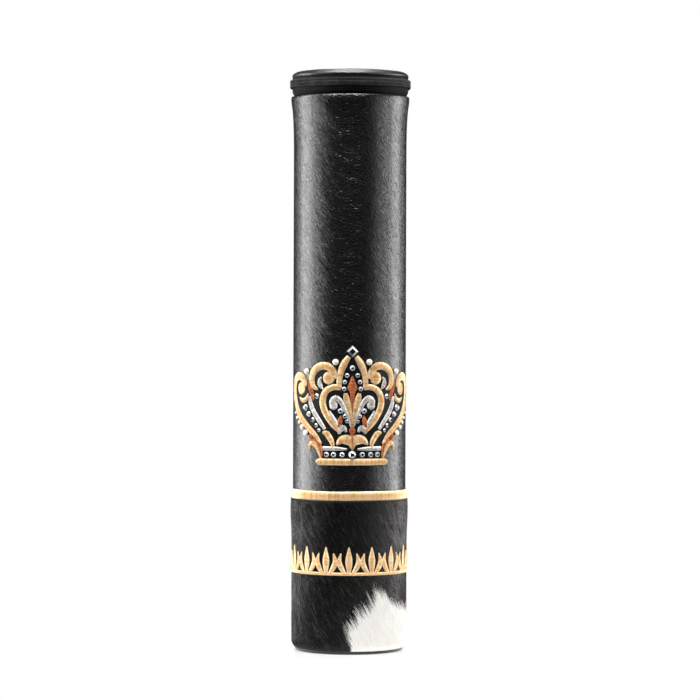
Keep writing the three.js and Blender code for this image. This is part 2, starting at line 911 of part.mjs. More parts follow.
const bothSides = (shares) => [crownRibbon(shares, -1), crownRibbon(shares, 1)];
const lotus = joined([...bothSides(lotusShares), crownRibbon(lotusDropShares, 1)]);
add("crown_leaf_pair", joined(bothSides(leafPairShares)), goldThread());
add("crown_copper_flame", crownRibbon(copperFlameShares, 1), copperThread());
add("crown_lotus", lotus, goldThread());
add("crown_bud", crownDome(budShares, 1, stitchHeight, pearlShoulderShare), copperThread());

// A bar right across the crown, from the shares of one half of it
function crossBar(shares, height) {
  const right = placed(shares, 1).reverse();
  const left = placed(shares, -1).slice(0, -1);
  return ribbon(leatherFace, [...left, ...right], height, ribbonStep);
}
add("crown_base_bar", crossBar(baseBarShares, stitchHeight), goldThread());
add("crown_jewel_band", crossBar(jewelBandShares, lowStitchHeight), fabric());

// Stones: the square one at the top, and seven on the jewel band
function facetedStone([across, up, radius], seat, sides, turn) {
  const levels = [
    [radius, seat],
    [radius, seat + stoneHeight / 3],
    [radius * stoneTableShare, seat + stoneHeight],
  ];
  return disc(leatherFace, across, up, sides, turn, levels);
}
const stoneSides = 8;
add("crown_top_stone", facetedStone(placed([topStoneShares], 1)[0], 0, 4, 0), stone());
const bandSeatHeight = lowStitchHeight + layerGap;
const bandStones = bandStoneShares.flatMap((share) => {
  const size = share > 0 ? sideStoneShare : middleStoneShare;
  const sides = share > 0 ? [-1, 1] : [1];
  return sides.map((side) => placed([[share, jewelBandShares[0][1], size]], side)[0]);
});
bandStones.forEach((place, i) => {
  const gem = facetedStone(place, bandSeatHeight, stoneSides, Math.PI / stoneSides);
  add(`crown_band_stone_${i + 1}`, gem, stone());
});

// Frieze round the front of the hide
const friezeWidth = friezeArc * hideOuter;
const friezePitch = friezeWidth / friezePalmettes;
const friezePlaced = (shares, across, side = 1) =>
  shares.map(([out, up, width]) => [
    across + side * out * friezeHeight,
    up * friezeHeight,
    width * friezeHeight,
  ]);
const leaf = (shares, across, side) =>
  ribbon(hideFace, friezePlaced(shares, across, side), stitchHeight, friezeLeafStep, 0);
const railEnds = [-1, 0, 1].map((end) => [(end * friezeWidth) / 2, friezeRail / 2, friezeRail]);
const friezePieces = [ribbon(hideFace, railEnds, friezeRailHeight, friezeLeafStep, 1 / 2)];
for (let i = 0; i < friezePalmettes; i++) {
  const across = (i + 1 / 2) * friezePitch - friezeWidth / 2;
  friezePieces.push(leaf(palmetteShares, across));
  friezePieces.push(leaf(sideLeafShares, across, -1), leaf(sideLeafShares, across, 1));
}
add("frieze", joined(friezePieces), goldThread());

export default root;
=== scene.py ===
# %% [markdown]
# A megillah case is a stiff tube that stands on its base and keeps a rolled scroll. This one is
# covered in black leather, has hair-on hide round its foot and an embroidered crown on its front, and
# a padded lid that a coil zip closes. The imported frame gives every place: the front faces -Y, +Z is
# up, and the origin is the middle of the base. Here each piece gets its finish, and the soft and sewn
# ones are built again with their real detail.

# %% Load the frame
import math

import bmesh
import bpy
import numpy as np
from mathutils import Matrix, Vector, noise


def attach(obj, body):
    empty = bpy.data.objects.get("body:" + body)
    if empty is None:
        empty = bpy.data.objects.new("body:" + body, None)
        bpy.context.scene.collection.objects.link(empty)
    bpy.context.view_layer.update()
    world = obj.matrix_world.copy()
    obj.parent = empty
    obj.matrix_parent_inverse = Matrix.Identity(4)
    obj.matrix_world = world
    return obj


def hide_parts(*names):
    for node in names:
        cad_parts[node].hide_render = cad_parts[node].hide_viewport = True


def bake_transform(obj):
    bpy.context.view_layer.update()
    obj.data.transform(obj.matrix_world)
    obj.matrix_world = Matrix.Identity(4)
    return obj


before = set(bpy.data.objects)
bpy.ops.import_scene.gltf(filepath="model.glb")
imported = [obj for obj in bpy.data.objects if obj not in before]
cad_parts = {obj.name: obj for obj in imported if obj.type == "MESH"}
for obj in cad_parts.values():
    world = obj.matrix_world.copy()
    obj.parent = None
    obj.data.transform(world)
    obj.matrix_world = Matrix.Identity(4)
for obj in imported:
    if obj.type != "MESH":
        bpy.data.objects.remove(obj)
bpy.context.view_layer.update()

# %% [markdown]
# The photograph was taken from well back with a long lens, at about half the case's height, which is
# why the tube's sides look parallel and the lid shows only as a thin ellipse. A camera can be fitted
# by eye or worked out. Here it is worked out: the curves of the lid and of the base give the height
# and the distance, and the width of the tube gives the lens.

# %% Camera
CAMERA_DISTANCE = 2.270  # metres
CAMERA_HEIGHT = 0.2491
CAMERA_SIDE = 0.0003
CAMERA_PITCH = math.radians(0.853)
CAMERA_ROLL = math.radians(0.178)
CAMERA_LENS = 162.4  # millimetres

lens = bpy.data.cameras.new("camera")
lens.lens = CAMERA_LENS
camera = bpy.data.objects.new("camera", lens)
turn = Matrix.Rotation(math.pi / 2 - CAMERA_PITCH, 4, "X") @ Matrix.Rotation(CAMERA_ROLL, 4, "Z")
camera.matrix_world = Matrix.Translation((CAMERA_SIDE, -CAMERA_DISTANCE, CAMERA_HEIGHT)) @ turn
bpy.context.scene.collection.objects.link(camera)
bpy.context.scene.camera = camera
bpy.context.scene.view_settings.view_transform = "Standard"
print("camera", CAMERA_DISTANCE, "m in front, with a lens of", CAMERA_LENS, "mm")

# %% [markdown]
# Every colour below is written as it looks on a screen, and shaders work in linear light, so one
# function turns the one into the other. A second one adds a node, with its inputs first and its
# settings after them. Where an input is another node, it is linked to that node's first output.

# %% Colours and nodes
MM = 0.001  # the frame is in metres, and this script's sizes are in millimetres


def linear(colour):
    channels = [int(colour[i:i + 2], 16) / 255 for i in (1, 3, 5)]
    return [c / 12.92 if c <= 0.04045 else ((c + 0.055) / 1.055) ** 2.4 for c in channels] + [1]


def node(tree, kind, inputs=None, **settings):
    """Adds one node. Each input, by name or place, gets a value or a link to a socket or a node."""
    made = tree.nodes.new(kind)
    for name, value in settings.items():
        setattr(made, name, value)
    for key, value in (inputs or {}).items():
        if isinstance(value, bpy.types.Node):
            value = value.outputs[0]
        if isinstance(value, bpy.types.NodeSocket):
            tree.links.new(value, made.inputs[key])
        else:
            made.inputs[key].default_value = value
    return made


print("mid grey is", round(linear("#808080")[0], 3), "in linear light")

# %% [markdown]
# A product shot like this is made on white paper: the floor and the backdrop come out white, and the
# lamps are soft boxes. Black leather shows only what it mirrors, so a tall box on each side draws
# the two bright bands down the tube, and the dark between them is the unlit room behind the camera.
# A weaker box beside each tall one softens the inner edge of its band, two low strips light the hide,
# a large box hangs in front and above, and a small one behind brightens the lid. Lighting the whole
# room would turn the leather grey, so the white is only in what the camera, a mirror or glass sees,
# and both sheets are kept small, because the leather's dark outline is the room past their edges.
# The table has a faint gloss, in which the foot of the case shows.

# %% Studio
def see_white(tree):
    """1 for all rays that see the paper as white, and beside it 1 for the camera's rays alone."""
    path = node(tree, "ShaderNodeLightPath")
    first = node(tree, "ShaderNodeMath",
                 {0: path.outputs["Is Camera Ray"], 1: path.outputs["Is Glossy Ray"]},
                 operation="MAXIMUM")
    both = node(tree, "ShaderNodeMath",
                {0: first, 1: path.outputs["Is Transmission Ray"]}, operation="MAXIMUM")
    return both, path.outputs["Is Camera Ray"]


ROOM_LEVEL = 0.02  # the light that a dark room still gives
world = bpy.data.worlds.new("studio")
bpy.context.scene.world = world
world.use_nodes = True
world.node_tree.nodes.clear()
room_path = node(world.node_tree, "ShaderNodeLightPath")
room_level = node(world.node_tree, "ShaderNodeMapRange",
                  {"Value": room_path.outputs["Is Camera Ray"], "To Min": ROOM_LEVEL, "To Max": 1.0})
room = node(world.node_tree, "ShaderNodeBackground",
            {"Color": linear("#ffffff"), "Strength": room_level})
node(world.node_tree, "ShaderNodeOutputWorld", {"Surface": room})

FLOOR_RADIUS = 0.22  # the sheet ends soon in front, so the leather mirrors the dark room
FLOOR_SIDES = 48
FLOOR_DROP = 0.0001  # keeps the paper clear of the base
SHADOW_START, SHADOW_REACH, SHADOW_SHARE = 0.03, 0.21, 0.22  # the shadow fades out with distance
SHINE_START, SHINE_REACH, SHINE_SHARE = 0.042, 0.14, 0.26  # and so does the table's gloss
TABLE_ROUGHNESS = 0.14
PAPER_WIDTH, PAPER_HEIGHT, PAPER_BEHIND = 0.8, 1.3, 3.0


def paper_material(name, is_floor):
    """White paper. The floor also keeps a soft shadow and a faint mirror image near the foot."""
    made = bpy.data.materials.new(name)
    made.use_nodes = True
    tree = made.node_tree
    tree.nodes.clear()
    white, from_camera = see_white(tree)
    glow = node(tree, "ShaderNodeEmission", {"Color": linear("#ffffff"), "Strength": 1.0})
    matt = node(tree, "ShaderNodeBsdfDiffuse", {"Color": linear("#e9e9e9")})
    factor = white
    if is_floor:
        place = node(tree, "ShaderNodeTexCoord").outputs["Object"]
        distance = node(tree, "ShaderNodeVectorMath", {0: place}, operation="LENGTH")
        fade = node(tree, "ShaderNodeMapRange",
                    {"Value": distance.outputs["Value"], "From Min": SHADOW_START,
                     "From Max": SHADOW_REACH,
                     "To Min": SHADOW_SHARE, "To Max": 0.0}, interpolation_type="SMOOTHSTEP")
        shade = node(tree, "ShaderNodeMath", {0: fade, 1: from_camera}, operation="MULTIPLY")
        factor = node(tree, "ShaderNodeMath", {0: white, 1: shade}, operation="SUBTRACT")
    paper = node(tree, "ShaderNodeMixShader", {0: factor, 1: matt, 2: glow})
    if is_floor:
        gloss = node(tree, "ShaderNodeBsdfAnisotropic", {"Roughness": TABLE_ROUGHNESS})
        near = node(tree, "ShaderNodeMapRange",
                    {"Value": distance.outputs["Value"], "From Min": SHINE_START,
                     "From Max": SHINE_REACH,
                     "To Min": SHINE_SHARE, "To Max": 0.0}, interpolation_type="SMOOTHSTEP")
        shine = node(tree, "ShaderNodeMath", {0: from_camera, 1: near}, operation="MULTIPLY")
        paper = node(tree, "ShaderNodeMixShader", {0: shine, 1: paper, 2: gloss})
    node(tree, "ShaderNodeOutputMaterial", {"Surface": paper})
    return made


def sheet_of_paper(name, corners, material):
    mesh = bpy.data.meshes.new(name)
    mesh.from_pydata(corners, [], [range(len(corners))])
    mesh.materials.append(material)
    paper = bpy.data.objects.new(name, mesh)
    bpy.context.scene.collection.objects.link(paper)


edge_angles = [2 * math.pi * i / FLOOR_SIDES for i in range(FLOOR_SIDES)]
floor_edge = [(FLOOR_RADIUS * math.cos(a), FLOOR_RADIUS * math.sin(a), -FLOOR_DROP)
              for a in edge_angles]
sheet_of_paper("floor", floor_edge, paper_material("white floor paper", True))
backdrop_edge = [(x * PAPER_WIDTH / 2, PAPER_BEHIND, y * PAPER_HEIGHT)
                 for x, y in ((-1, 0), (1, 0), (1, 1), (-1, 1))]
sheet_of_paper("backdrop", backdrop_edge, paper_material("white backdrop paper", False))

AIM_HEIGHT = 0.22
SOFT_BOXES = [  # azimuth and elevation in degrees, distance, width and height in metres, and watts
    ("left", -100, 0, 1.3, 0.76, 1.5, 34), ("left_inner", -70, 0, 1.6, 0.60, 1.5, 3),
    ("left_low", -138, -16, 1.3, 0.6, 0.16, 2.5), ("right_low", 100, -16, 1.3, 0.6, 0.16, 1.5),
    ("right", 106, 0, 1.4, 0.64, 1.5, 25), ("right_inner", 68, 0, 1.6, 0.80, 1.5, 5),
    ("front", -6, 70, 1.5, 1.3, 0.8, 76), ("top", 180, 66, 1.4, 0.42, 0.30, 9)]


def soft_box(name, azimuth, elevation, distance, width, height, power):
    """An area lamp. Azimuth 0 is in front of the case, and 90 is on its +X side."""
    lamp = bpy.data.lights.new(name, "AREA")
    lamp.shape = "RECTANGLE"
    lamp.size = width
    lamp.size_y = height
    lamp.energy = power
    box = bpy.data.objects.new(name, lamp)
    across, up = math.radians(azimuth), math.radians(elevation)
    way = Vector((math.sin(across) * math.cos(up), -math.cos(across) * math.cos(up), math.sin(up)))
    box.location = Vector((0, 0, AIM_HEIGHT)) + way * distance
    box.rotation_euler = way.to_track_quat("Z", "Y").to_euler()
    bpy.context.scene.collection.objects.link(box)


for name, *values in SOFT_BOXES:
    soft_box(f"soft_box_{name}", *values)
print("studio with", len(SOFT_BOXES), "soft boxes")

# %% [markdown]
# These are the sizes that several pieces share, in millimetres. Places on the tube are given on its
# surface unrolled: the distance round it from the middle of its front, positive to the right, and
# the height above the base.

# %% Sizes
TUBE = 40.45  # outside of the leather
BAND_BASE, BAND_TOP = 109.1, 116.4
HEM_TOP = 397.5
ZIP_LINE = 405.6
LID_EDGE = 410.6
HIDE = 41.6  # outside of the hair
HIDE_TOP = 109.1
TAPE = 41.6
COIL_BACK = 41.8
TURNED_SIDES = 192
SIDES = (-1, 1)  # left and right of the crown's middle, or below and above the zip's line


def roll_up(flat, radius):
    """Points on the unrolled tube, as across, up and out from the radius, put round the tube."""
    out = radius + flat[:, 2]
    angle = flat[:, 0] / radius
    return np.stack([out * np.sin(angle), -out * np.cos(angle), flat[:, 1]], 1) * MM


# %% [markdown]
# Most pieces here are round, so a few helpers make them all: one makes a mesh from points in
# millimetres, one puts a finished mesh in the scene and lets it ride on its body, and one turns an
# outline round the axis as a lathe does. A Screw modifier could do that too, but here each turned
# point can still be moved by a rule. A turned tube is closed on itself, and a disc has one point at
# its middle.

# %% Meshes, pieces and turned shapes
def mesh_of(name, points, faces, smooth=40):
    mesh = bpy.data.meshes.new(name)
    mesh.from_pydata(np.asarray(points) * MM, [], faces)
    mesh.shade_smooth()
    mesh.set_sharp_from_angle(angle=math.radians(smooth))
    return mesh


def piece(name, mesh, material, body, slot, *replaced):
    mesh.materials.clear()
    mesh.materials.append(material)
    made = bpy.data.objects.new(name, mesh)
    bpy.context.scene.collection.objects.link(made)
    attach(made, body)
    if replaced:
        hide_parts(*replaced)
    print(name, len(mesh.vertices), "points", len(mesh.polygons), "faces")
    return made


def turned(name, outline, sides=TURNED_SIDES, shape=None, smooth=40):
    """Turns an outline of radius and height, which runs counterclockwise with the axis on its left."""
    outline = np.array(outline, float)
    solid = outline[0, 0] == 0
    rim = outline[1:-1] if solid else outline
    angle = np.arange(sides) * 2 * math.pi / sides
    radius = np.repeat(rim[:, 0], sides)
    height = np.repeat(rim[:, 1], sides)
    angles = np.tile(angle, len(rim))
    if shape:
        radius, height = shape(angles, radius, height)
    points = np.stack([radius * np.sin(angles), -radius * np.cos(angles), height], 1)
    faces = []
    rows = len(rim)
    for i in range(rows - 1 if solid else rows):
        j = (i + 1) % rows
        for k in range(sides):
            n = (k + 1) % sides
            faces.append((i * sides + k, i * sides + n, j * sides + n, j * sides + k))
    if solid:
        points = np.vstack([points, [0, 0, outline[0, 1]], [0, 0, outline[-1, 1]]])
        low, high, last = len(points) - 2, len(points) - 1, (rows - 1) * sides
        for k in range(sides):
            n = (k + 1) % sides
            faces.append((low, n, k))
            faces.append((high, last + k, last + n))
    return mesh_of(name, points, faces, smooth)


def arc(middle, radius, start, end, steps=5):
    """Points of an arc in the plane of radius and height, from one angle to another in degrees."""
    turns = np.radians(np.linspace(start, end, steps))
    return [(middle[0] + radius * math.cos(a), middle[1] + radius * math.sin(a)) for a in turns]


# %% [markdown]
# A material is a principled shader with patterns in front of it. Patterns are drawn in millimetres:
# the object's own coordinates are in metres, so they are multiplied by a thousand first. On the tube
# a pattern has to follow the surface, so its coordinates are unrolled in the shader itself, as the
# angle round the axis times the radius, and the height.

# %% Material helpers
def new_finish(name, **values):
    """A material with one principled shader, its tree and the shader."""
    made = bpy.data.materials.new(name)
    made.use_nodes = True
    tree = made.node_tree
    tree.nodes.clear()
    shader = node(tree, "ShaderNodeBsdfPrincipled",
                  {key.replace("_", " "): value for key, value in values.items()})
    node(tree, "ShaderNodeOutputMaterial", {"Surface": shader})
    return made, tree, shader


def millimetres(tree):
    place = node(tree, "ShaderNodeTexCoord").outputs["Object"]
    return node(tree, "ShaderNodeVectorMath", {0: place, "Scale": 1 / MM}, operation="SCALE")


def unrolled(tree, radius):
    """Millimetres round the tube and up it."""
    parts = node(tree, "ShaderNodeSeparateXYZ", {0: millimetres(tree)})
    front = node(tree, "ShaderNodeMath", {0: parts.outputs["Y"], 1: -1.0}, operation="MULTIPLY")
    angle = node(tree, "ShaderNodeMath", {0: parts.outputs["X"], 1: front}, operation="ARCTAN2")
    across = node(tree, "ShaderNodeMath", {0: angle, 1: radius}, operation="MULTIPLY")
    return node(tree, "ShaderNodeCombineXYZ", {"X": across, "Y": parts.outputs["Z"]})


def two_tone(tree, factor, low, high):
    """A colour between two, by a factor. Each end is a hex colour or another mix."""
    ends = [linear(colour) if isinstance(colour, str) else colour for colour in (low, high)]
    return node(tree, "ShaderNodeMix", {0: factor, 6: ends[0], 7: ends[1]}, data_type="RGBA").outputs[2]


def coloured(tree, shader, factor, low, high):
    """Gives the shader a colour between two, by a factor."""
    tree.links.new(two_tone(tree, factor, low, high), shader.inputs["Base Color"])


def raised(tree, shader, height, depth, strength):
    """Gives the shader a surface raised by a height from 0 to 1, of a depth in millimetres."""
    bump = node(tree, "ShaderNodeBump",
                {"Height": height, "Distance": depth * MM, "Strength": strength})
    tree.links.new(bump.outputs[0], shader.inputs["Normal"])


# %% [markdown]
# The cover is soft black leather with a tumbled grain: small cells between fine creases. Round the
# tube the creases slant down to the right, steeply at the sides and nearly level at the front, as
# the skin was drawn over it. Cells alone would look like a ball, and creases alone like bark, so the
# height is both, with fine pores on the cells and a few long wrinkles over them. The grain is made
# of patterns and not modelled, because it is too small to show in the outline. A crease is a little
# duller than a cell, and a thin finish coat gives the satin shine.

# %% Tumbled black leather
CREASE_SPACING = 1.8
CREASE_STRETCH = 0.46  # creases are about twice as long as they are apart
CREASE_EDGE = 0.26  # the share of a cell over which it rises from the crease
CREASE_FALL = 1.15  # how steeply the creases fall at the sides
LEVEL_REACH = 12.0  # the distance from the front's middle in which they are nearly level
DRIFT_SIZE, DRIFT_PUSH = 17, 8.0  # creases wander, over this length and by this much
PORE_SPACING, PORE_SHARE = 1.0, 0.30
WRINKLE_SCALE = (0.05, 0.26, 1.0)  # wrinkles are 20 mm long and 4 mm apart
WRINKLE_WIDTH, WRINKLE_SHARE = 0.035, 0.5
GRAIN_DEPTH, GRAIN_STRENGTH = 0.13, 0.8
CREASE_DULLNESS = 0.10


def slanted(tree, place):
    """Bends the tube's places so that what lies level on them slants down to the right."""
    parts = node(tree, "ShaderNodeSeparateXYZ", {0: place})
    across, up, out = parts.outputs
    share = node(tree, "ShaderNodeMath", {0: across, 1: 1 / LEVEL_REACH}, operation="MULTIPLY")
    level = node(tree, "ShaderNodeMath", {0: share}, operation="ARCTANGENT")
    fall = node(tree, "ShaderNodeMath",
                {0: level, 1: -LEVEL_REACH, 2: across}, operation="MULTIPLY_ADD")
    fall = node(tree, "ShaderNodeMath", {0: fall, 1: CREASE_FALL, 2: up}, operation="MULTIPLY_ADD")
    return node(tree, "ShaderNodeCombineXYZ", {"X": across, "Y": fall, "Z": out})


def leather_finish(name, on_tube, roughness):
    made, tree, shader = new_finish(name, Base_Color=linear("#08080a"), Coat_Weight=0.18,
                                    Coat_Roughness=0.22)
    place = slanted(tree, unrolled(tree, TUBE) if on_tube else millimetres(tree))
    drift = node(tree, "ShaderNodeTexNoise",
                 {"Vector": place, "Scale": 1 / DRIFT_SIZE, "Detail": 2.0, "Roughness": 0.45})
    centred = node(tree, "ShaderNodeVectorMath",
                   {0: drift.outputs["Color"], 1: (0.5, 0.5, 0.5)}, operation="SUBTRACT")
    push = node(tree, "ShaderNodeVectorMath", {0: centred, "Scale": DRIFT_PUSH}, operation="SCALE")
    wandering = node(tree, "ShaderNodeVectorMath", {0: place, 1: push}, operation="ADD")
    stretched = node(tree, "ShaderNodeMapping",
                     {"Vector": wandering, "Scale": (CREASE_STRETCH, 1.0, 1.0)})
    creases = node(tree, "ShaderNodeTexVoronoi",
                   {"Vector": stretched, "Scale": 1 / CREASE_SPACING, "Randomness": 1.0},
                   feature="DISTANCE_TO_EDGE")
    cell = node(tree, "ShaderNodeMapRange",
                {"Value": creases.outputs["Distance"], "From Max": CREASE_EDGE},
                interpolation_type="SMOOTHSTEP")
    pores = node(tree, "ShaderNodeTexNoise",
                 {"Vector": stretched, "Scale": 1 / PORE_SPACING, "Detail": 2.0, "Roughness": 0.55})
    height = node(tree, "ShaderNodeMath",
                  {0: pores.outputs["Fac"], 1: PORE_SHARE, 2: cell}, operation="MULTIPLY_ADD")
    far = node(tree, "ShaderNodeMapping", {"Vector": wandering, "Scale": WRINKLE_SCALE})
    slow = node(tree, "ShaderNodeTexNoise", {"Vector": far, "Scale": 1.0, "Detail": 1.0})
    from_line = node(tree, "ShaderNodeMath", {0: slow.outputs["Fac"], 1: 0.5}, operation="SUBTRACT")
    from_line = node(tree, "ShaderNodeMath", {0: from_line}, operation="ABSOLUTE")
    wrinkle = node(tree, "ShaderNodeMapRange",
                   {"Value": from_line, "From Max": WRINKLE_WIDTH, "To Max": WRINKLE_SHARE},
                   interpolation_type="SMOOTHSTEP")
    height = node(tree, "ShaderNodeMath", {0: height, 1: wrinkle}, operation="ADD")
    raised(tree, shader, height, GRAIN_DEPTH, GRAIN_STRENGTH)
    dull = node(tree, "ShaderNodeMapRange",
                {"Value": cell, "To Min": roughness + CREASE_DULLNESS, "To Max": roughness})
    tree.links.new(dull.outputs[0], shader.inputs["Roughness"])
    print(name, len(tree.nodes), "nodes")
    return made


tube_leather = leather_finish("black tumbled leather on the tube", True, 0.25)
lid_leather = leather_finish("black tumbled leather on the lid", False, 0.32)

# %% [markdown]
# The leather sleeve is one sheet that is glued round the board tube, lapped at the back, and folded
# over the zip tape at the top, where the hem makes it swell. A plain lathe would be too perfect: real
# leather lies in soft, shallow creases. The outline is turned with enough rows and sides for these,
# and each point is then moved by a slow ridged noise and, at the back, raised for the lap. A pocket
# under the hem's lip takes the edge of the zip tape.

# %% Leather sleeve
HEM_HEIGHT, HEM_BULGE = 38.5, 2.0
HEM_DOWN = [1, 0.82, 0.645, 0.54, 0.44, 0.34, 0.25, 0.17, 0.10, 0.06, 0.035]
HEM_OUT = [0, 0.04, 0.10, 0.17, 0.26, 0.40, 0.56, 0.80, 1.0, 0.97, 0.90]
SLEEVE_SIDES, SLEEVE_ROWS = 380, 226
SLEEVE_INNER = 38.6
LIP_MIDDLE, LIP_RADIUS = (41.55, 396.2), 0.62
POCKET, POCKET_TOP, POCKET_BASE, POCKET_FOOT = 40.6, 396.0, 389, 385.5
OUTSIDE = POCKET - 0.7  # what lies further out than this is the leather's face
LAP_WIDTH, LAP_RISE, LAP_SLOPE = 9.0, 0.45, 0.9
LAP_END, LAP_FADE = HEM_TOP - 4, 20  # the lap is pressed flat up to the hem
CREASE_DEPTH = 0.025


def crease_depth(across, up):
    """How far a soft crease draws the leather in, from 0 to 1. They are 9 mm long and 4.6 mm apart."""
    slow = noise.noise(Vector((across / 17, up / 13, 4.1)))
    ridge = 1 - abs(noise.noise(Vector((across / 9 + 2 * slow, (up + 0.5 * across) / 4.6, 9.7)))) * 2
    return max(0.0, ridge) ** 3 * (0.4 + 0.6 * max(0.0, slow + 0.4))


def sleeve_shape(angle, radius, height):
    """Draws the leather's face in at its creases, and raises it where one end laps over the other."""
    outside = radius > OUTSIDE
    across = np.where(angle > math.pi, angle - 2 * math.pi, angle) * TUBE
    depth = np.array([crease_depth(a, z) if o else 0 for a, z, o in zip(across, height, outside)])
    from_lap = math.pi * TUBE - np.abs(across)
    lap = np.clip((LAP_WIDTH / 2 - np.where(across > 0, from_lap, -from_lap)) / LAP_SLOPE, 0, 1)
    fade = np.clip(1 - from_lap / (3 * LAP_WIDTH), 0, 1) * np.clip((LAP_END - height) / LAP_FADE, 0, 1)
    lift = np.where(outside, LAP_RISE * lap * fade - CREASE_DEPTH * depth, 0)
    return radius + lift, height


hem_z = [HEM_TOP - d * HEM_HEIGHT for d in HEM_DOWN]
hem_r = [TUBE + o * HEM_BULGE for o in HEM_OUT]
rows_z = np.linspace(BAND_BASE, hem_z[-1], SLEEVE_ROWS)
rows_r = np.interp(rows_z, hem_z, hem_r, left=TUBE)
blur = np.array([1, 2, 3, 2, 1]) / 9
rows_r[2:-2] = np.convolve(rows_r, blur, "valid")
sleeve_outline = [(SLEEVE_INNER, BAND_BASE), *zip(rows_r, rows_z),
                  *arc(LIP_MIDDLE, LIP_RADIUS, 15, 150, 6), (POCKET, POCKET_TOP),
                  (POCKET, POCKET_BASE), (SLEEVE_INNER, POCKET_FOOT)]
piece("leather_cover", turned("leather_cover", sleeve_outline, SLEEVE_SIDES, sleeve_shape, 60),
      tube_leather, "case", "black_leather", "leather_sleeve")

# %% [markdown]
# Thread, stones, zip teeth and hair all repeat, so Geometry Nodes make them. The work is done flat,
# as on an embroidery hoop: X runs round the tube, Y up it and Z out of it, all in millimetres. A tree
# is built in the script, run once on a plain mesh, and its result is kept as a mesh and rolled up
# round the tube. That keeps the trees simple, because on the hoop every stitch only turns about Z.
# Each tree ends alike: its instances are made real, because the export drops them, and the material
# is set.

# %% Running a tree
def new_tree(name, inputs):
    """A geometry tree with a Geometry input and output, and the named inputs with their defaults."""
    tree = bpy.data.node_groups.new(name, "GeometryNodeTree")
    tree.interface.new_socket("Geometry", in_out="INPUT", socket_type="NodeSocketGeometry")
    tree.interface.new_socket("Geometry", in_out="OUTPUT", socket_type="NodeSocketGeometry")
    for key, (kind, default) in inputs.items():
        socket = tree.interface.new_socket(key, in_out="INPUT", socket_type="NodeSocket" + kind)
        if default is not None:
            socket.default_value = default
    return tree, node(tree, "NodeGroupInput").outputs


def close_tree(tree, made, material):
    """Ends a tree with real geometry in place of instances, and with its material."""
    made = node(tree, "GeometryNodeRealizeInstances", {0: made})
    made = node(tree, "GeometryNodeSetMaterial", {"Geometry": made, "Material": material})
    node(tree, "NodeGroupOutput", {0: made})
    print(tree.name, "tree,", len(tree.nodes), "nodes")


def run(tree, source_mesh, values):
    """Runs a tree on a mesh and returns the result as a plain mesh, still on the hoop."""
    source = bpy.data.objects.new("on_the_hoop", source_mesh)
    bpy.context.scene.collection.objects.link(source)
    modifier = source.modifiers.new("repeat", "NODES")
    modifier.node_group = tree
    for item in tree.interface.items_tree:
        if item.in_out == "INPUT" and item.name in values:
            modifier[item.identifier] = values[item.name]
    graph = bpy.context.evaluated_depsgraph_get()
    result = bpy.data.meshes.new_from_object(
        source.evaluated_get(graph), preserve_all_data_layers=True, depsgraph=graph)
    source.modifiers.remove(modifier)
    bpy.data.objects.remove(source)
    return result


def points_of(mesh):
    flat = np.empty(len(mesh.vertices) * 3, np.float32)
    mesh.vertices.foreach_get("co", flat)
    return flat.reshape(-1, 3).astype(float)


def rolled(mesh, radius):
    """Rolls a mesh from the hoop round the tube. The radius is a number or follows from the height."""
    flat = points_of(mesh)
    around = radius(flat[:, 1]) if callable(radius) else radius
    mesh.vertices.foreach_set("co", roll_up(flat, around).astype(np.float32).ravel())
    mesh.update()
    return mesh


def places_mesh(lines, **attributes):
    """A mesh of separate lines of points on the hoop, with a number for each point and attribute."""
    mesh = bpy.data.meshes.new("places")
    points = [p for line in lines for p in line]
    edges, start = [], 0
    for line in lines:
        edges += [(start + i, start + i + 1) for i in range(len(line) - 1)]
        start += len(line)
    mesh.from_pydata(points, edges, [])
    for key, values in attributes.items():
        mesh.attributes.new(key, "FLOAT", "POINT").data.foreach_set("value", values)
    return mesh


# %% [markdown]
# Satin stitch lays threads side by side straight across a shape, over a padding that makes it rise
# in the middle. It could be a bump map on a smooth ribbon, but close up the threads are what makes it
# look sewn. So the tree walks along the middle line of each ribbon, lays a bowed line across at every
# thread's place, scales it to the ribbon's width there, and gives each its round thickness. Every
# thread keeps a random tone and its place across, from which the material takes its tones and a
# painted highlight along the edges.

# %% The satin stitch tree
THREAD = 0.66  # width of a laid thread, a little more than the pitch, so that no gap shows
THREAD_PITCH = 0.60  # real thread is 0.4 mm wide, too fine to show, so this one is coarser
THREAD_POINTS, THREAD_SIDES = 8, 4
NARROW_RISE = 0.62  # a narrow ribbon rises by no more than this share of its half width

satin, satin_in = new_tree("satin_stitch", {
    "Pitch": ("Float", THREAD_PITCH), "Thread": ("Float", THREAD), "Rise": ("Float", 0.8),
    "Wander": ("Float", 0.06), "Power": ("Float", 3.2), "Seed": ("Int", 1),
    "Material": ("Material", None)})
middle_line = node(satin, "GeometryNodeMeshToCurve", {0: satin_in["Geometry"]})
stitch_places = node(satin, "GeometryNodeResampleCurve",
                     {"Curve": middle_line, "Length": satin_in["Pitch"]}, mode="LENGTH")
bar = node(satin, "GeometryNodeCurvePrimitiveLine", {"Start": (-1, 0, 0), "End": (1, 0, 0)})
bar = node(satin, "GeometryNodeResampleCurve", {"Curve": bar, "Count": THREAD_POINTS}, mode="COUNT")
bar_place = node(satin, "ShaderNodeSeparateXYZ", {0: node(satin, "GeometryNodeInputPosition")})
across = bar_place.outputs["X"]
bar = node(satin, "GeometryNodeStoreNamedAttribute",
           {"Geometry": bar, "Name": "across", "Value": across}, data_type="FLOAT", domain="POINT")
from_middle = node(satin, "ShaderNodeMath", {0: across}, operation="ABSOLUTE")
bow = node(satin, "ShaderNodeMath", {0: from_middle, 1: satin_in["Power"]}, operation="POWER")
bow = node(satin, "ShaderNodeMath", {0: 1.0, 1: bow}, operation="SUBTRACT")
bow = node(satin, "ShaderNodeCombineXYZ", {"Z": bow})
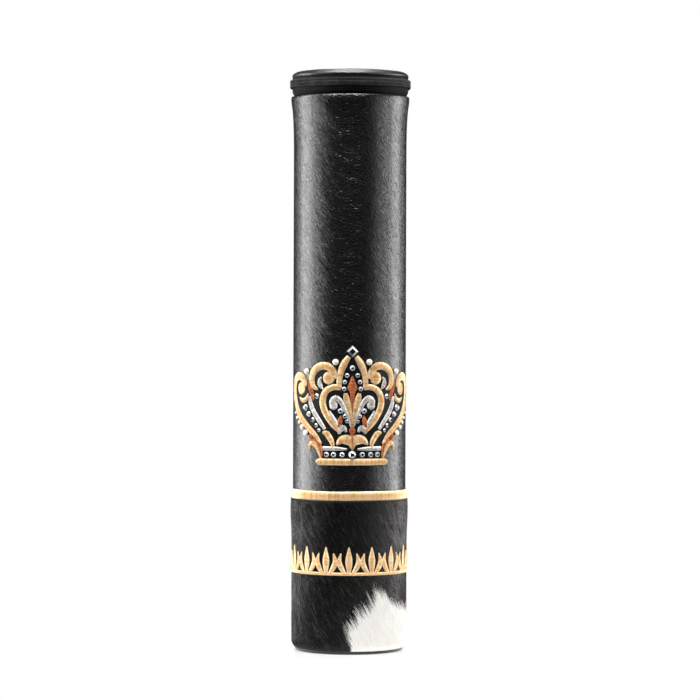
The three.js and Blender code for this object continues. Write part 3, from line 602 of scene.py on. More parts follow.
bar = node(satin, "GeometryNodeSetPosition", {"Geometry": bar, "Offset": bow})
heading = node(satin, "FunctionNodeAlignRotationToVector",
               {"Vector": node(satin, "GeometryNodeInputTangent")}, axis="Y", pivot_axis="Z")
reach = node(satin, "GeometryNodeInputNamedAttribute", {"Name": "half_width"}, data_type="FLOAT")
wander = node(satin, "FunctionNodeRandomValue",
              {2: 0.0, 3: satin_in["Wander"], 8: satin_in["Seed"]}, data_type="FLOAT")
reach_out = node(satin, "ShaderNodeMath", {0: reach, 1: wander.outputs[1]}, operation="SUBTRACT")
low = node(satin, "ShaderNodeMath", {0: reach_out, 1: NARROW_RISE}, operation="MULTIPLY")
low = node(satin, "ShaderNodeMath", {0: low, 1: satin_in["Rise"]}, operation="MINIMUM")
spread = node(satin, "ShaderNodeCombineXYZ", {"X": reach_out, "Y": 1.0, "Z": low})
stitches = node(satin, "GeometryNodeInstanceOnPoints",
                {"Points": stitch_places, "Instance": bar, "Rotation": heading, "Scale": spread})
tone = node(satin, "FunctionNodeRandomValue", {8: satin_in["Seed"]}, data_type="FLOAT")
stitches = node(satin, "GeometryNodeStoreNamedAttribute",
                {"Geometry": stitches, "Name": "tone", "Value": tone.outputs[1]}, data_type="FLOAT",
                domain="INSTANCE")
stitches = node(satin, "GeometryNodeRealizeInstances", {0: stitches})
half_thread = node(satin, "ShaderNodeMath", {0: satin_in["Thread"], 1: 0.5}, operation="MULTIPLY")
section = node(satin, "GeometryNodeCurvePrimitiveCircle",
               {"Resolution": THREAD_SIDES, "Radius": half_thread})
threads = node(satin, "GeometryNodeCurveToMesh",
               {"Curve": stitches, "Profile Curve": section, "Fill Caps": True})
threads = node(satin, "GeometryNodeSetShadeSmooth", {"Geometry": threads})
close_tree(satin, threads, satin_in["Material"])

# %% [markdown]
# Metallised embroidery thread is a thin foil wound round a core. It shines along the ribbon's edges,
# where the threads bend down, and looks deeper in colour over the flat middle: this shine is a painted
# highlight in the colour. A pure metal would mirror the dark room and go brown, so it is only partly
# metallic. What makes a thread bright is a sum of a painted highlight by its place across the ribbon,
# a tone of its own, and small patches of painted sheen.

# %% Embroidery threads
PLAIN_LIGHT = 0.04
EDGE_PAINTED_HIGHLIGHT = 0.50
PATCH_PAINTED_SHEEN = 0.24
OWN_LIGHT = 0.38


def thread_finish(name, deep, bright, metallic=0.30, roughness=0.42, patch_size=2.4):
    made, tree, shader = new_finish(name, Metallic=metallic, Roughness=roughness)
    tone_of = node(tree, "ShaderNodeAttribute", attribute_name="tone").outputs["Fac"]
    across_of = node(tree, "ShaderNodeAttribute", attribute_name="across").outputs["Fac"]
    # A painted highlight: the colour is lighter towards the ribbon's edges.
    edge = node(tree, "ShaderNodeMath", {0: across_of}, operation="ABSOLUTE")
    edge = node(tree, "ShaderNodeMath", {0: edge, 1: 2.0}, operation="POWER")
    # A painted sheen: noise patches make the colour lighter.
    patches = node(tree, "ShaderNodeTexNoise",
                   {"Vector": millimetres(tree), "Scale": 1 / patch_size, "Detail": 3.0,
                    "Roughness": 0.6})
    patch = node(tree, "ShaderNodeMapRange",
                 {"Value": patches.outputs["Fac"], "From Min": 0.32, "From Max": 0.68})
    light = node(tree, "ShaderNodeMath",
                 {0: edge, 1: EDGE_PAINTED_HIGHLIGHT, 2: PLAIN_LIGHT}, operation="MULTIPLY_ADD")
    light = node(tree, "ShaderNodeMath",
                 {0: patch, 1: PATCH_PAINTED_SHEEN, 2: light}, operation="MULTIPLY_ADD")
    light = node(tree, "ShaderNodeMath",
                 {0: tone_of, 1: OWN_LIGHT, 2: light}, operation="MULTIPLY_ADD", use_clamp=True)
    coloured(tree, shader, light, deep, bright)
    print(name)
    return made


gold = thread_finish("gold metallised embroidery thread", "#c8821a", "#fff1ca", patch_size=2.0)
silver = thread_finish("silver metallised embroidery thread", "#83775f", "#ffffff")
copper = thread_finish("copper metallised embroidery thread", "#2a0900", "#ff985a", 0.4)
black_thread = thread_finish("black rayon embroidery thread", "#08080a", "#1c1c20", 0.0, 0.5, 3.0)

# %% [markdown]
# A ribbon of stitching is given by a few places along its middle line, each with its width. A curve
# that passes through its places is the natural choice, because the same places shape the solids of
# the frame. This one steps by the square root of the distance from place to place, so that it never
# loops back where two of them are close together.

# %% Ribbons
CROWN_CENTRE, CROWN_HALF, CROWN_HEIGHT, CROWN_BASE = 2.1, 56.0, 84.6, 134.2
RIBBON_STEP = 0.5
DISC_STEPS, DISC_REACH = 15, 0.985  # a disc's ribbon ends just short of its edge, where it has no width


def smooth_line(places):
    """Points along the curve through the places, about RIBBON_STEP apart. Widths follow along."""
    p = np.array(places, float)
    p = np.vstack([2 * p[0] - p[1], p, 2 * p[-1] - p[-2]])
    knots = np.concatenate([[0], np.cumsum(np.linalg.norm(np.diff(p[:, :2], axis=0), axis=1) ** 0.5)])
    line = []
    for i in range(1, len(p) - 2):
        t0, t1, t2, t3 = knots[i - 1:i + 3]
        steps = max(2, math.ceil(np.linalg.norm(p[i + 1, :2] - p[i, :2]) / RIBBON_STEP))
        for t in np.linspace(t1, t2, steps, endpoint=False):
            a = p[i - 1] + (p[i] - p[i - 1]) * (t - t0) / (t1 - t0)
            b = p[i] + (p[i + 1] - p[i]) * (t - t1) / (t2 - t1)
            c = p[i + 1] + (p[i + 2] - p[i + 1]) * (t - t2) / (t3 - t2)
            d = a + (b - a) * (t - t0) / (t2 - t0)
            e = b + (c - b) * (t - t1) / (t3 - t1)
            line.append(d + (e - d) * (t - t1) / (t2 - t1))
    return np.array([*line, p[-2]])


def on_crown(shares, side=1):
    """Shares of the crown's half width, height and half width, to millimetres on the hoop."""
    return [(CROWN_CENTRE + side * out * CROWN_HALF, CROWN_BASE + up * CROWN_HEIGHT,
             width * CROWN_HALF) for out, up, width in shares]


def disc_line(place):
    """A round patch of stitching, as a ribbon down its middle that is as wide as the disc."""
    across, up, radius = place
    way = np.linspace(-1, 1, DISC_STEPS) * DISC_REACH
    return np.array([(across, up + radius * t, 2 * radius * math.sqrt(1 - t * t)) for t in way])


def stitched(lines, material, rise=0.62, radius=TUBE, seat=0.12, **values):
    """Satin stitch along lines of across, up and width, as a mesh round the tube."""
    source = places_mesh([[(x, y, seat) for x, y, _ in line] for line in lines],
                         half_width=[w / 2 for line in lines for _, _, w in line])
    return rolled(run(satin, source, {"Rise": rise, "Material": material, **values}), radius)


print("crown", 2 * CROWN_HALF, "mm wide and", CROWN_HEIGHT, "mm tall")

# %% [markdown]
# The crown is the common crown of ritual embroidery: scrolls on both sides, a pointed arch over a
# lily, a band of stones, and a bar below. One side is drawn, in shares of the crown's size, and the
# other mirrors it. The places follow the real proportions of such a crown.

# %% Crown scrolls, arch and leaves
OUTER_SCROLL = [(0.686, 0.660, 0.071), (0.691, 0.708, 0.093), (0.785, 0.742, 0.096),
                (0.894, 0.720, 0.098), (0.948, 0.650, 0.094), (0.922, 0.547, 0.091),
                (0.812, 0.426, 0.087), (0.646, 0.329, 0.080), (0.496, 0.248, 0.064),
                (0.413, 0.182, 0.029)]
OUTER_BALL = (0.757, 0.639, 0.077)
OUTER_CRESCENT = [(0.793, 0.565, 0.011), (0.729, 0.538, 0.050), (0.654, 0.550, 0.054),
                  (0.622, 0.594, 0.014)]
COPPER_SPIKE = [(0.612, 0.702, 0.014), (0.588, 0.650, 0.050), (0.552, 0.600, 0.054),
                (0.527, 0.545, 0.014)]
SILVER_RIBBON = [(0.590, 0.572, 0.036), (0.572, 0.515, 0.062), (0.534, 0.462, 0.064),
                 (0.474, 0.404, 0.060), (0.410, 0.350, 0.052), (0.357, 0.304, 0.034)]
INNER_SCROLL = [(0.236, 0.728, 0.071), (0.246, 0.786, 0.082), (0.320, 0.828, 0.090),
                (0.426, 0.827, 0.093), (0.524, 0.782, 0.093), (0.556, 0.718, 0.088),
                (0.526, 0.658, 0.062), (0.460, 0.634, 0.018)]
INNER_BALL = (0.304, 0.730, 0.077)
INNER_CRESCENT = [(0.412, 0.736, 0.011), (0.434, 0.708, 0.046), (0.428, 0.676, 0.060),
                  (0.388, 0.640, 0.014)]
FLAME_ARCH = [(0.048, 0.908, 0.054), (0.104, 0.849, 0.083), (0.152, 0.771, 0.074),
              (0.168, 0.695, 0.064), (0.166, 0.650, 0.058)]
HEART = [(0.150, 0.651, 0.061), (0.239, 0.655, 0.070), (0.334, 0.624, 0.079), (0.384, 0.560, 0.088),
         (0.377, 0.487, 0.088), (0.316, 0.407, 0.080), (0.229, 0.331, 0.068), (0.161, 0.283, 0.036)]
SILVER_SCROLL = [(0.022, 0.330, 0.012), (0.050, 0.398, 0.034), (0.096, 0.468, 0.048),
                 (0.146, 0.532, 0.058), (0.204, 0.562, 0.068), (0.252, 0.545, 0.070),
                 (0.266, 0.515, 0.06)]
SILVER_BALL = (0.240, 0.502, 0.052)
LEAF_PAIR = [(0.086, 0.600, 0.040), (0.078, 0.566, 0.072), (0.044, 0.490, 0.068),
             (0.022, 0.417, 0.038), (0.006, 0.350, 0.012)]
COPPER_FLAME = [(0, 0.745, 0.012), (0, 0.702, 0.061), (0, 0.650, 0.118), (0, 0.622, 0.075),
                (0, 0.604, 0.029)]
LOTUS = [(0.197, 0.176, 0.021), (0.135, 0.212, 0.094), (0.066, 0.216, 0.122), (0, 0.196, 0.107)]
LOTUS_DROP = [(0, 0.229, 0.089), (0, 0.180, 0.093), (0, 0.132, 0.014)]
SILVER_STRIP = [(0.379, 0.141, 0.046), (0.211, 0.141, 0.046), (0.071, 0.136, 0.020)]
LOWER_LEAF = [(0.590, 0.247, 0.034), (0.567, 0.240, 0.086), (0.505, 0.226, 0.084),
              (0.446, 0.184, 0.064), (0.418, 0.126, 0.046), (0.400, 0.074, 0.018)]
HOOK = [(0.590, 0.120, 0.014), (0.590, 0.160, 0.038), (0.556, 0.184, 0.056), (0.498, 0.172, 0.058),
        (0.452, 0.133, 0.050), (0.424, 0.089, 0.038), (0.414, 0.060, 0.018)]
SMALL_LEAF = [(0.380, 0.272, 0.030), (0.336, 0.268, 0.066), (0.290, 0.232, 0.070),
              (0.258, 0.192, 0.058), (0.243, 0.150, 0.026)]
BAR_HALF = [(0.380, 0.079), (0.446, 0.079), (0.468, 0.050), (0.486, 0.012)]
BASE_BAR = [*[(-out, 0.029, width) for out, width in reversed(BAR_HALF)], (0, 0.029, 0.079),
            *[(out, 0.029, width) for out, width in BAR_HALF]]
JEWEL_BAND = [(-0.393, 0.091, 0.084), (0, 0.091, 0.084), (0.393, 0.091, 0.084)]


def crown_line(shares, side=1):
    return smooth_line(on_crown(shares, side))


def both_lines(*shapes):
    return [crown_line(shape, side) for shape in shapes for side in SIDES]


def crown_disc(share, side=1):
    return disc_line(on_crown([share], side)[0])


def crown_piece(name, lines, material, slot, *replaced, **values):
    piece(name, stitched(lines, material, **values), material, "case", slot, *replaced)


for side, hand in zip(SIDES, ("left", "right")):
    seed = 3 if side > 0 else 8
    for name, lines, thread, slot in (
        ("outer_scroll", [crown_line(OUTER_SCROLL, side), crown_disc(OUTER_BALL, side)], gold, "gold"),
        ("inner_scroll", [crown_line(INNER_SCROLL, side), crown_disc(INNER_BALL, side)], gold, "gold"),
        ("arch", [crown_line(FLAME_ARCH, side), crown_line(HEART, side)], gold, "gold"),
        ("crescent", [crown_line(OUTER_CRESCENT, side)], gold, "gold"),
        ("hook", [crown_line(HOOK, side)], gold, "gold"),
        ("small_leaf", [crown_line(SMALL_LEAF, side)], gold, "gold"),
        ("silver_scroll", [crown_line(SILVER_SCROLL, side), crown_disc(SILVER_BALL, side)],
         silver, "silver"),
        ("silver_ribbon", [crown_line(SILVER_RIBBON, side)], silver, "silver"),
        ("silver_strip", [crown_line(SILVER_STRIP, side)], silver, "silver"),
        ("copper_spike", [crown_line(COPPER_SPIKE, side)], copper, "copper"),
        ("lower_leaf", [crown_line(LOWER_LEAF, side)], copper, "copper"),
    ):
        crown_piece(f"stitched_{name}_{hand}", lines, thread, slot + "_thread",
                    f"crown_{name}_{hand}", Seed=seed)
        seed += 1

lotus_lines = [*both_lines(LOTUS), crown_line(LOTUS_DROP)]
crown_piece("stitched_leaf_pair", both_lines(LEAF_PAIR), gold, "gold_thread", "crown_leaf_pair",
            Seed=31)
crown_piece("stitched_lotus", lotus_lines, gold, "gold_thread", "crown_lotus", Seed=32)
crown_piece("stitched_base_bar", [crown_line(BASE_BAR)], gold, "gold_thread", "crown_base_bar",
            Seed=33)

# %% [markdown]
# The crown stands on a black ground that is only thread deep and fills it between its ribbons. It
# could be a colour on the leather, but a real one is raised and matt. So it is cut as one flat patch
# whose edge runs under the middle of the outer ribbons, so that no leather shows between them, and
# its rows of fine stitching are a bump.

# %% Crown ground
GROUND_SEAT, GROUND_RISE = 0.02, 0.14
GROUND_STRIP = 1.2  # the patch is cut into strips this wide, so that it can bend round the tube
GROUND_EDGE = [(0.40, 0.05), (0.415, 0.16), (0.496, 0.248), (0.648, 0.329), (0.816, 0.426),
               (0.929, 0.547), (0.957, 0.654), (0.900, 0.726), (0.787, 0.749), (0.691, 0.725),
               (0.612, 0.702), (0.561, 0.735), (0.530, 0.790), (0.430, 0.836), (0.323, 0.837),
               (0.250, 0.800), (0.157, 0.780), (0.107, 0.849), (0.045, 0.913), (0, 0.935)]


def patch_mesh(outline, bottom, top, strip):
    """A flat patch on the hoop with a thickness, cut into strips across."""
    made = bmesh.new()
    made.faces.new([made.verts.new((x, y, bottom)) for x, y in outline])
    low, high = min(x for x, _ in outline), max(x for x, _ in outline)
    for x in np.arange(low + strip, high, strip):
        bmesh.ops.bisect_plane(made, geom=made.verts[:] + made.edges[:] + made.faces[:],
                               plane_co=(x, 0, 0), plane_no=(1, 0, 0))
    raised_part = bmesh.ops.extrude_face_region(made, geom=made.faces[:])
    moved = [v for v in raised_part["geom"] if isinstance(v, bmesh.types.BMVert)]
    bmesh.ops.translate(made, verts=moved, vec=(0, 0, top - bottom))
    bmesh.ops.recalc_face_normals(made, faces=made.faces[:])
    mesh = bpy.data.meshes.new("patch")
    made.to_mesh(mesh)
    made.free()
    return mesh


right_edge = [(x, y) for x, y, _ in on_crown([(*p, 0) for p in GROUND_EDGE])]
left_edge = [(2 * CROWN_CENTRE - x, y) for x, y in reversed(right_edge[:-1])]
ground_outline = right_edge + left_edge
ground = rolled(patch_mesh(ground_outline, GROUND_SEAT, GROUND_RISE, GROUND_STRIP), TUBE)

ground_thread, tree, shader = new_finish("black ground stitching", Roughness=0.62,
                                         Specular_IOR_Level=0.15, Base_Color=linear("#060607"))
rows = node(tree, "ShaderNodeTexWave",
            {"Vector": unrolled(tree, TUBE), "Scale": 0.5, "Distortion": 0.6}, bands_direction="X")
raised(tree, shader, rows.outputs["Fac"], 0.12, 0.8)
piece("crown_ground", ground, ground_thread, "case", "black_thread", "crown_jewel_band")

# %% [markdown]
# Small details lie on the ground: the copper flame and bud with their tails, the silver crescents
# inside the scrolls, and little leaves and fans in the heart. The big ribbons also have a dark edge of
# stitching, which is the same tree run on the same lines, a little wider, lower and in black thread.
# It is a painted shadow along the ribbons' edges.

# %% Crown's small stitched details
FLAME_TAIL = [(0, 0.612, 0.060), (0, 0.565, 0.042), (0, 0.515, 0.028), (0, 0.460, 0.012)]
BUD_DROP = [(0, 0.345, 0.010), (0, 0.318, 0.042), (0, 0.290, 0.072), (0, 0.268, 0.045),
            (0, 0.250, 0.020)]
BUD_TAIL = [(0, 0.252, 0.026), (0, 0.205, 0.020), (0, 0.160, 0.010)]
HEART_LEAF = [(0.146, 0.414, 0.010), (0.156, 0.372, 0.060), (0.170, 0.338, 0.040),
              (0.181, 0.317, 0.012)]
HEART_SILVER = [(0.290, 0.455, 0.012), (0.252, 0.400, 0.050), (0.214, 0.352, 0.060),
                (0.190, 0.320, 0.020)]
SILVER_FAN = [(0.170, 0.268, 0.030), (0.142, 0.308, 0.076), (0.104, 0.312, 0.060),
              (0.078, 0.284, 0.022)]

SHADOW_EDGE = (0, 0, 1.5)  # how much of the dark edge shows, both sides of a ribbon together

crown_piece("stitched_copper_flame", [crown_line(COPPER_FLAME)], copper, "copper_thread",
            "crown_copper_flame", rise=1.0, Seed=34)
crown_piece("stitched_bud", [crown_line(BUD_DROP)], copper, "copper_thread", "crown_bud", rise=1.0,
            Seed=35)
crown_piece("stitched_copper_tails", [crown_line(FLAME_TAIL), crown_line(BUD_TAIL)], copper,
            "copper_thread", seat=0.62, Seed=39)
# The dark edge is a painted shadow: black stitching along the big ribbons' edges.
edged = both_lines(OUTER_SCROLL, INNER_SCROLL, FLAME_ARCH, LOWER_LEAF, HOOK) + [crown_line(BASE_BAR)]
crown_piece("stitched_dark_edge", [line + SHADOW_EDGE for line in edged], black_thread, "black_thread",
            rise=0.05, seat=-0.12, Seed=45)
crown_piece("stitched_heart_leaves", both_lines(HEART_LEAF), copper, "copper_thread", Seed=36)
crown_piece("stitched_silver_details", both_lines(INNER_CRESCENT, HEART_SILVER, SILVER_FAN), silver,
            "silver_thread", Seed=38)

# %% [markdown]
# Stones, beads, zip teeth and single stitches are all one small shape set out many times, so one more
# tree serves them. It puts the shape on points that carry a size and a turn, and gives each copy a
# random tone.

# %% The setting-out tree
setting, setting_in = new_tree("setting_out", {
    "Shape": ("Object", None), "Seed": ("Int", 5), "Material": ("Material", None)})
shape_info = node(setting, "GeometryNodeObjectInfo",
                  {"Object": setting_in["Shape"]}, transform_space="ORIGINAL")
size_of = node(setting, "GeometryNodeInputNamedAttribute", {"Name": "size"}, data_type="FLOAT")
turn_of = node(setting, "GeometryNodeInputNamedAttribute", {"Name": "turn"}, data_type="FLOAT")
turn_of = node(setting, "ShaderNodeCombineXYZ", {"Z": turn_of})
turn_of = node(setting, "FunctionNodeEulerToRotation", {0: turn_of})
set_out = node(setting, "GeometryNodeInstanceOnPoints",
               {"Points": setting_in["Geometry"], "Instance": shape_info.outputs["Geometry"],
                "Rotation": turn_of, "Scale": size_of})
tone = node(setting, "FunctionNodeRandomValue", {8: setting_in["Seed"]}, data_type="FLOAT")
set_out = node(setting, "GeometryNodeStoreNamedAttribute",
               {"Geometry": set_out, "Name": "tone", "Value": tone.outputs[1]}, data_type="FLOAT",
               domain="INSTANCE")
close_tree(setting, set_out, setting_in["Material"])


def set_on(shape, places, radius, material, smooth=True):
    """Sets a shape on places of across, up, out, size and turn, and rolls the result up."""
    model = bpy.data.objects.new("model", shape)
    bpy.context.scene.collection.objects.link(model)
    columns = np.array(places, float)
    source = places_mesh([columns[:, :3].tolist()], size=columns[:, 3], turn=columns[:, 4])
    result = rolled(run(setting, source, {"Shape": model, "Material": material}), radius)
    bpy.data.objects.remove(model)
    if smooth:
        result.shade_smooth()
    return result


# %% [markdown]
# The stones are flat-backed rhinestones: cut glass with a foil behind it, so each facet acts as a
# small mirror. The flat table faces the dark room and the sloping facets face the lamps, which gives
# a dark middle and a bright ring. Glass with a foil behind it would take many samples for the same
# look, so the facets are partly metallic under a clear coat, the table's dark is painted into its
# colour, and each facet has a grey of its own, a painted reflection. Beads are smooth, in ivory pearl
# lacquer with a painted sheen that pales towards the edge.

# %% Rhinestones and beads
def stone_mesh(points, faces):
    """A stone whose second face is its table. Each facet has a number for its grey, a painted
    reflection.
    """
    mesh = bpy.data.meshes.new("stone")
    mesh.from_pydata(points, [], faces)
    table = [1.0 if i == 1 else 0.0 for i in range(len(faces))]
    mesh.attributes.new("table", "FLOAT", "FACE").data.foreach_set("value", table)
    facets = [(i * 5 % 8) / 7 for i in range(len(faces))]
    mesh.attributes.new("facet", "FLOAT", "FACE").data.foreach_set("value", facets)
    return mesh


def rhinestone(sides, table):
    """A cut stone of radius 1: two girdle rings, a ring of star facets and the table."""
    def ring(count, radius, height, turn=0.0):
        return [(radius * math.cos(turn + 2 * math.pi * i / count),
                 radius * math.sin(turn + 2 * math.pi * i / count), height) for i in range(count)]
    double = 2 * sides
    points = (ring(double, 1.0, 0) + ring(double, 1.0, 0.16)
              + ring(sides, (1 + table) / 2, 0.50, math.pi / sides) + ring(sides, table, 0.72))
    faces = [tuple(range(double))[::-1], tuple(range(double * 2 + sides, double * 2 + 2 * sides))]
    for i in range(double):
        j = (i + 1) % double
        faces.append((i, j, double + j, double + i))
    for i in range(sides):
        low, middle, right = double + 2 * i, double + 2 * i + 1, double + (2 * i + 2) % double
        star, before = double * 2 + i, double * 2 + (i - 1) % sides
        top, after = double * 2 + sides + i, double * 2 + sides + (i + 1) % sides
        faces += [(low, middle, star), (middle, right, star), (low, star, top, before)]
        faces.append((star, after, top))
    return stone_mesh(points, faces)


def square_stone(table):
    """A square stone of half diagonal 1, with a bevelled edge round its table."""
    rings = [(1.0, 0), (1.0, 0.10), (table, 0.36)]
    points = [(r * math.cos(i * math.pi / 2), r * math.sin(i * math.pi / 2), z)
              for r, z in rings for i in range(4)]
    faces = [(3, 2, 1, 0), (8, 9, 10, 11)]
    for row in (0, 4):
        faces += [(row + i, row + (i + 1) % 4, row + 4 + (i + 1) % 4, row + 4 + i) for i in range(4)]
    return stone_mesh(points, faces)


def bead(sides=14, rings=8):
    """A bead of radius 1 that is glued down on a flat foot."""
    made = bmesh.new()
    bmesh.ops.create_uvsphere(made, u_segments=sides, v_segments=rings, radius=1)
    bmesh.ops.translate(made, verts=made.verts[:], vec=(0, 0, 0.72))
    bmesh.ops.scale(made, verts=made.verts[:], vec=(1, 1, 0.72))
    mesh = bpy.data.meshes.new("bead")
    made.to_mesh(mesh)
    made.free()
    return mesh


STONE_SEAT, BEAD_SEAT = 0.16, 0.1
STONE_SHARE = 0.47  # a stone's radius as a share of its nominal diameter
STONE_TURN, BEAD_TURN = 0.39, 0.7  # each is turned by this much more than the one before it
STONES = [  # across and up from the crown's middle, and diameter, on the left side
    (0, 203.1, 4.0), (-3.7, 197.9, 3.4), (-5.4, 193.2, 3.4), (-5.9, 188.4, 3.4),
    (-8.3, 172.8, 4.0), (-5.2, 169.1, 3.3), (-3.8, 165.4, 2.8), (-26.7, 183.0, 4.0),
    (-37.4, 174.8, 4.8), (-34.0, 170.2, 4.2), (-30.1, 166.2, 3.6), (-27.1, 162.3, 3.2),
    (-24.8, 158.9, 2.8)]
BAND_STONES = [(0, 5.6), (-7.13, 4.0), (-13.3, 4.0), (-18.6, 4.0)]
BEADS = [(-11.76, 207.3, 4.4), (-35.2, 200.6, 4.0), (-50.4, 170.7, 2.0), (-47.4, 167.3, 2.4),
         (-44.2, 164.2, 2.7), (-40.6, 160.9, 3.3), (-36.4, 156.7, 3.8)]


def both_sides(rows):
    """Mirrors rows of across, up and diameter about the crown's middle."""
    out = []
    for across, up, diameter in rows:
        for side in ((1,) if across == 0 else (1, -1)):
            out.append((CROWN_CENTRE + side * across, up, diameter))
    return out


# %% Setting the stones and beads
band_height = CROWN_BASE + JEWEL_BAND[0][1] * CROWN_HEIGHT
stone_rows = both_sides(STONES) + both_sides([(a, band_height, d) for a, d in BAND_STONES])
stone_places = [(x, y, STONE_SEAT, STONE_SHARE * d, STONE_TURN * i)
                for i, (x, y, d) in enumerate(stone_rows)]
glass, tree, shader = new_finish("foil-backed rhinestone glass", Metallic=0.25, Roughness=0.10,
                                 Coat_Weight=1.0, Coat_Roughness=0.03)
# The table's dark and each facet's grey are painted reflections of the room and the lamps.
painted_dark_table = node(tree, "ShaderNodeAttribute", attribute_name="table").outputs["Fac"]
facet = node(tree, "ShaderNodeAttribute", attribute_name="facet").outputs["Fac"]
painted_facet_reflection = two_tone(tree, facet, "#5c636f", "#f6f8fc")
coloured(tree, shader, painted_dark_table, painted_facet_reflection, "#101216")
stones_mesh = set_on(rhinestone(8, 0.50), stone_places, TUBE, glass, smooth=False)
piece("crown_rhinestones", stones_mesh, glass, "case", "rhinestone",
      *[f"crown_band_stone_{i}" for i in range(1, 8)])
TOP_STONE = (CROWN_CENTRE, 214.8, STONE_SEAT, 4.1, 0.0)
top_mesh = set_on(square_stone(0.55), [TOP_STONE], TUBE, glass, smooth=False)
piece("crown_top_rhinestone", top_mesh, glass, "case", "rhinestone", "crown_top_stone")

pearl, tree, shader = new_finish("ivory pearl lacquer", Roughness=0.22, Coat_Weight=0.6,
                                 Coat_Roughness=0.1, Sheen_Weight=0.2)
# A painted sheen: the colour pales towards the bead's edge, by the angle of view.
lustre = node(tree, "ShaderNodeLayerWeight", {"Blend": 0.35})
coloured(tree, shader, lustre.outputs["Facing"], "#d8cbb8", "#f4ebdc")
bead_places = [(x, y, BEAD_SEAT, d / 2, BEAD_TURN * i)
               for i, (x, y, d) in enumerate(both_sides(BEADS))]
piece("crown_beads", set_on(bead(), bead_places, TUBE, pearl), pearl, "case", "pearl",
      *[f"crown_pearl_{hand}_{i}" for hand in ("left", "right") for i in (1, 2)])

# %% [markdown]
# A band of gold satin stitch covers the place where the leather meets the hide. It runs right round,
# so the same tree lays it along one line that is as long as the tube is round.

# %% Gold band
BAND_STEPS = 400
BAND_DROP, BAND_TRIM = 0.4, 0.7  # the stitches sit a little lower and narrower than their solid
BAND_WAVE, BAND_WAVE_LENGTH = 0.10, 9.0  # the line wavers slightly, as hand-guided work does

round_line = np.linspace(-math.pi, math.pi, BAND_STEPS) * TUBE
band_middle, band_width = (BAND_BASE + BAND_TOP) / 2 - BAND_DROP, BAND_TOP - BAND_BASE - BAND_TRIM
band_line = [(x, band_middle + BAND_WAVE * math.sin(x / BAND_WAVE_LENGTH), band_width)
             for x in round_line]
band_mesh = stitched([band_line], gold, rise=0.75, seat=0.3, Seed=41, Wander=0.10, Power=9.0)
piece("stitched_band", band_mesh, gold, "case", "gold_thread", "gold_band")

# %% [markdown]
# Round the front of the hide runs a frieze of palmettes on a rail, a plain classical border in the
# same gold thread as the band. Nine equal motifs share the arc, so that a loop draws them.

# %% Frieze on the hide
FRIEZE_ARC = math.radians(206)
FRIEZE_BASE, FRIEZE_HEIGHT = 56.5, 19.5
FRIEZE_RAIL = 1.8
FRIEZE_SEAT = 41.3  # the stitches press the hair down
PALMETTES = 9
MIDDLE_LEAF = [(0, 0.04, 0.10), (0, 0.52, 0.25), (0, 1, 0.03)]
SIDE_LEAF = [(0.12, 0.05, 0.07), (0.26, 0.24, 0.17), (0.35, 0.48, 0.17), (0.29, 0.78, 0.03)]

frieze_width = FRIEZE_ARC * HIDE
frieze_pitch = frieze_width / PALMETTES
frieze_lines = [smooth_line([(end * frieze_width / 2, FRIEZE_BASE + FRIEZE_RAIL / 2, FRIEZE_RAIL)
                             for end in (-1, 0, 1)])]
for i in range(PALMETTES):
    middle = (i + 1 / 2) * frieze_pitch - frieze_width / 2
    for leaf, side in ((MIDDLE_LEAF, 1), (SIDE_LEAF, -1), (SIDE_LEAF, 1)):
        frieze_lines.append(smooth_line([
            (middle + side * out * FRIEZE_HEIGHT, FRIEZE_BASE + up * FRIEZE_HEIGHT,
             width * FRIEZE_HEIGHT) for out, up, width in leaf]))
frieze_mesh = stitched(frieze_lines, gold, rise=0.42, radius=FRIEZE_SEAT, seat=0.1, Seed=42)
piece("stitched_frieze", frieze_mesh, gold, "case", "gold_thread", "frieze")

# %% [markdown]
# Hair-on cowhide keeps the calf's own coat: short, straight hair that lies flat and all one way,
# here slanting up to the left. A fur shader or particles would not come out as a mesh, so a tree
# sows points on the flat hide, bends a thin line over from each, and gives it a tapering body. The
# hide has a white patch at the front right. Sowing the patch with white hair and the rest with black
# makes the ragged edge by itself, where white tips lie over the black.

# %% The hide's patch
WHITE_PATCH = [(2.5, -4), (1, 8), (2.5, 15), (5.5, 19), (11.5, 24.5), (17.5, 30), (20, 37),
               (24, 40), (29, 38), (35, 33), (42, 30.5), (53, 27), (62, 24), (72, 18), (84, 10),
               (90, 0), (90, -4)]
HAIR_ROOT = 40.9  # radius of the skin under the hair
SKIN_BASE = 2.3
FOOT_HEIGHT, FOOT_INSET, FOOT_CURVE = 4.0, 1.7, 1.7
SWELL, SWELL_MIDDLE, SWELL_REACH = 0.75, 101.0, 13.0  # the hide swells under the band that pinches it
HIDE_CELL = 1.0
TUFT = 3.0  # how far tufts of one colour reach into the other
TUFT_WIDTH, TUFT_LENGTH, TUFT_SLANT = 2.6, 5.0, 1.5


def inside(polygon, x, y):
    """Even-odd test of many points."""
    hit = np.zeros(len(x), bool)
    for (x0, y0), (x1, y1) in zip(polygon, polygon[1:] + polygon[:1]):
        if y0 != y1:
            crosses = ((y0 > y) != (y1 > y)) & (x < (x1 - x0) * (y - y0) / (y1 - y0) + x0)
            hit ^= crosses
    return hit


def foot_sink(height):
    """How far the hide draws in at its foot, less its swell under the band."""
    low = np.clip((FOOT_HEIGHT - height + SKIN_BASE) / FOOT_HEIGHT, 0, 1)
    swell = SWELL * np.exp(-((height - SWELL_MIDDLE) / SWELL_REACH) ** 2)
    return FOOT_INSET * low ** FOOT_CURVE - swell


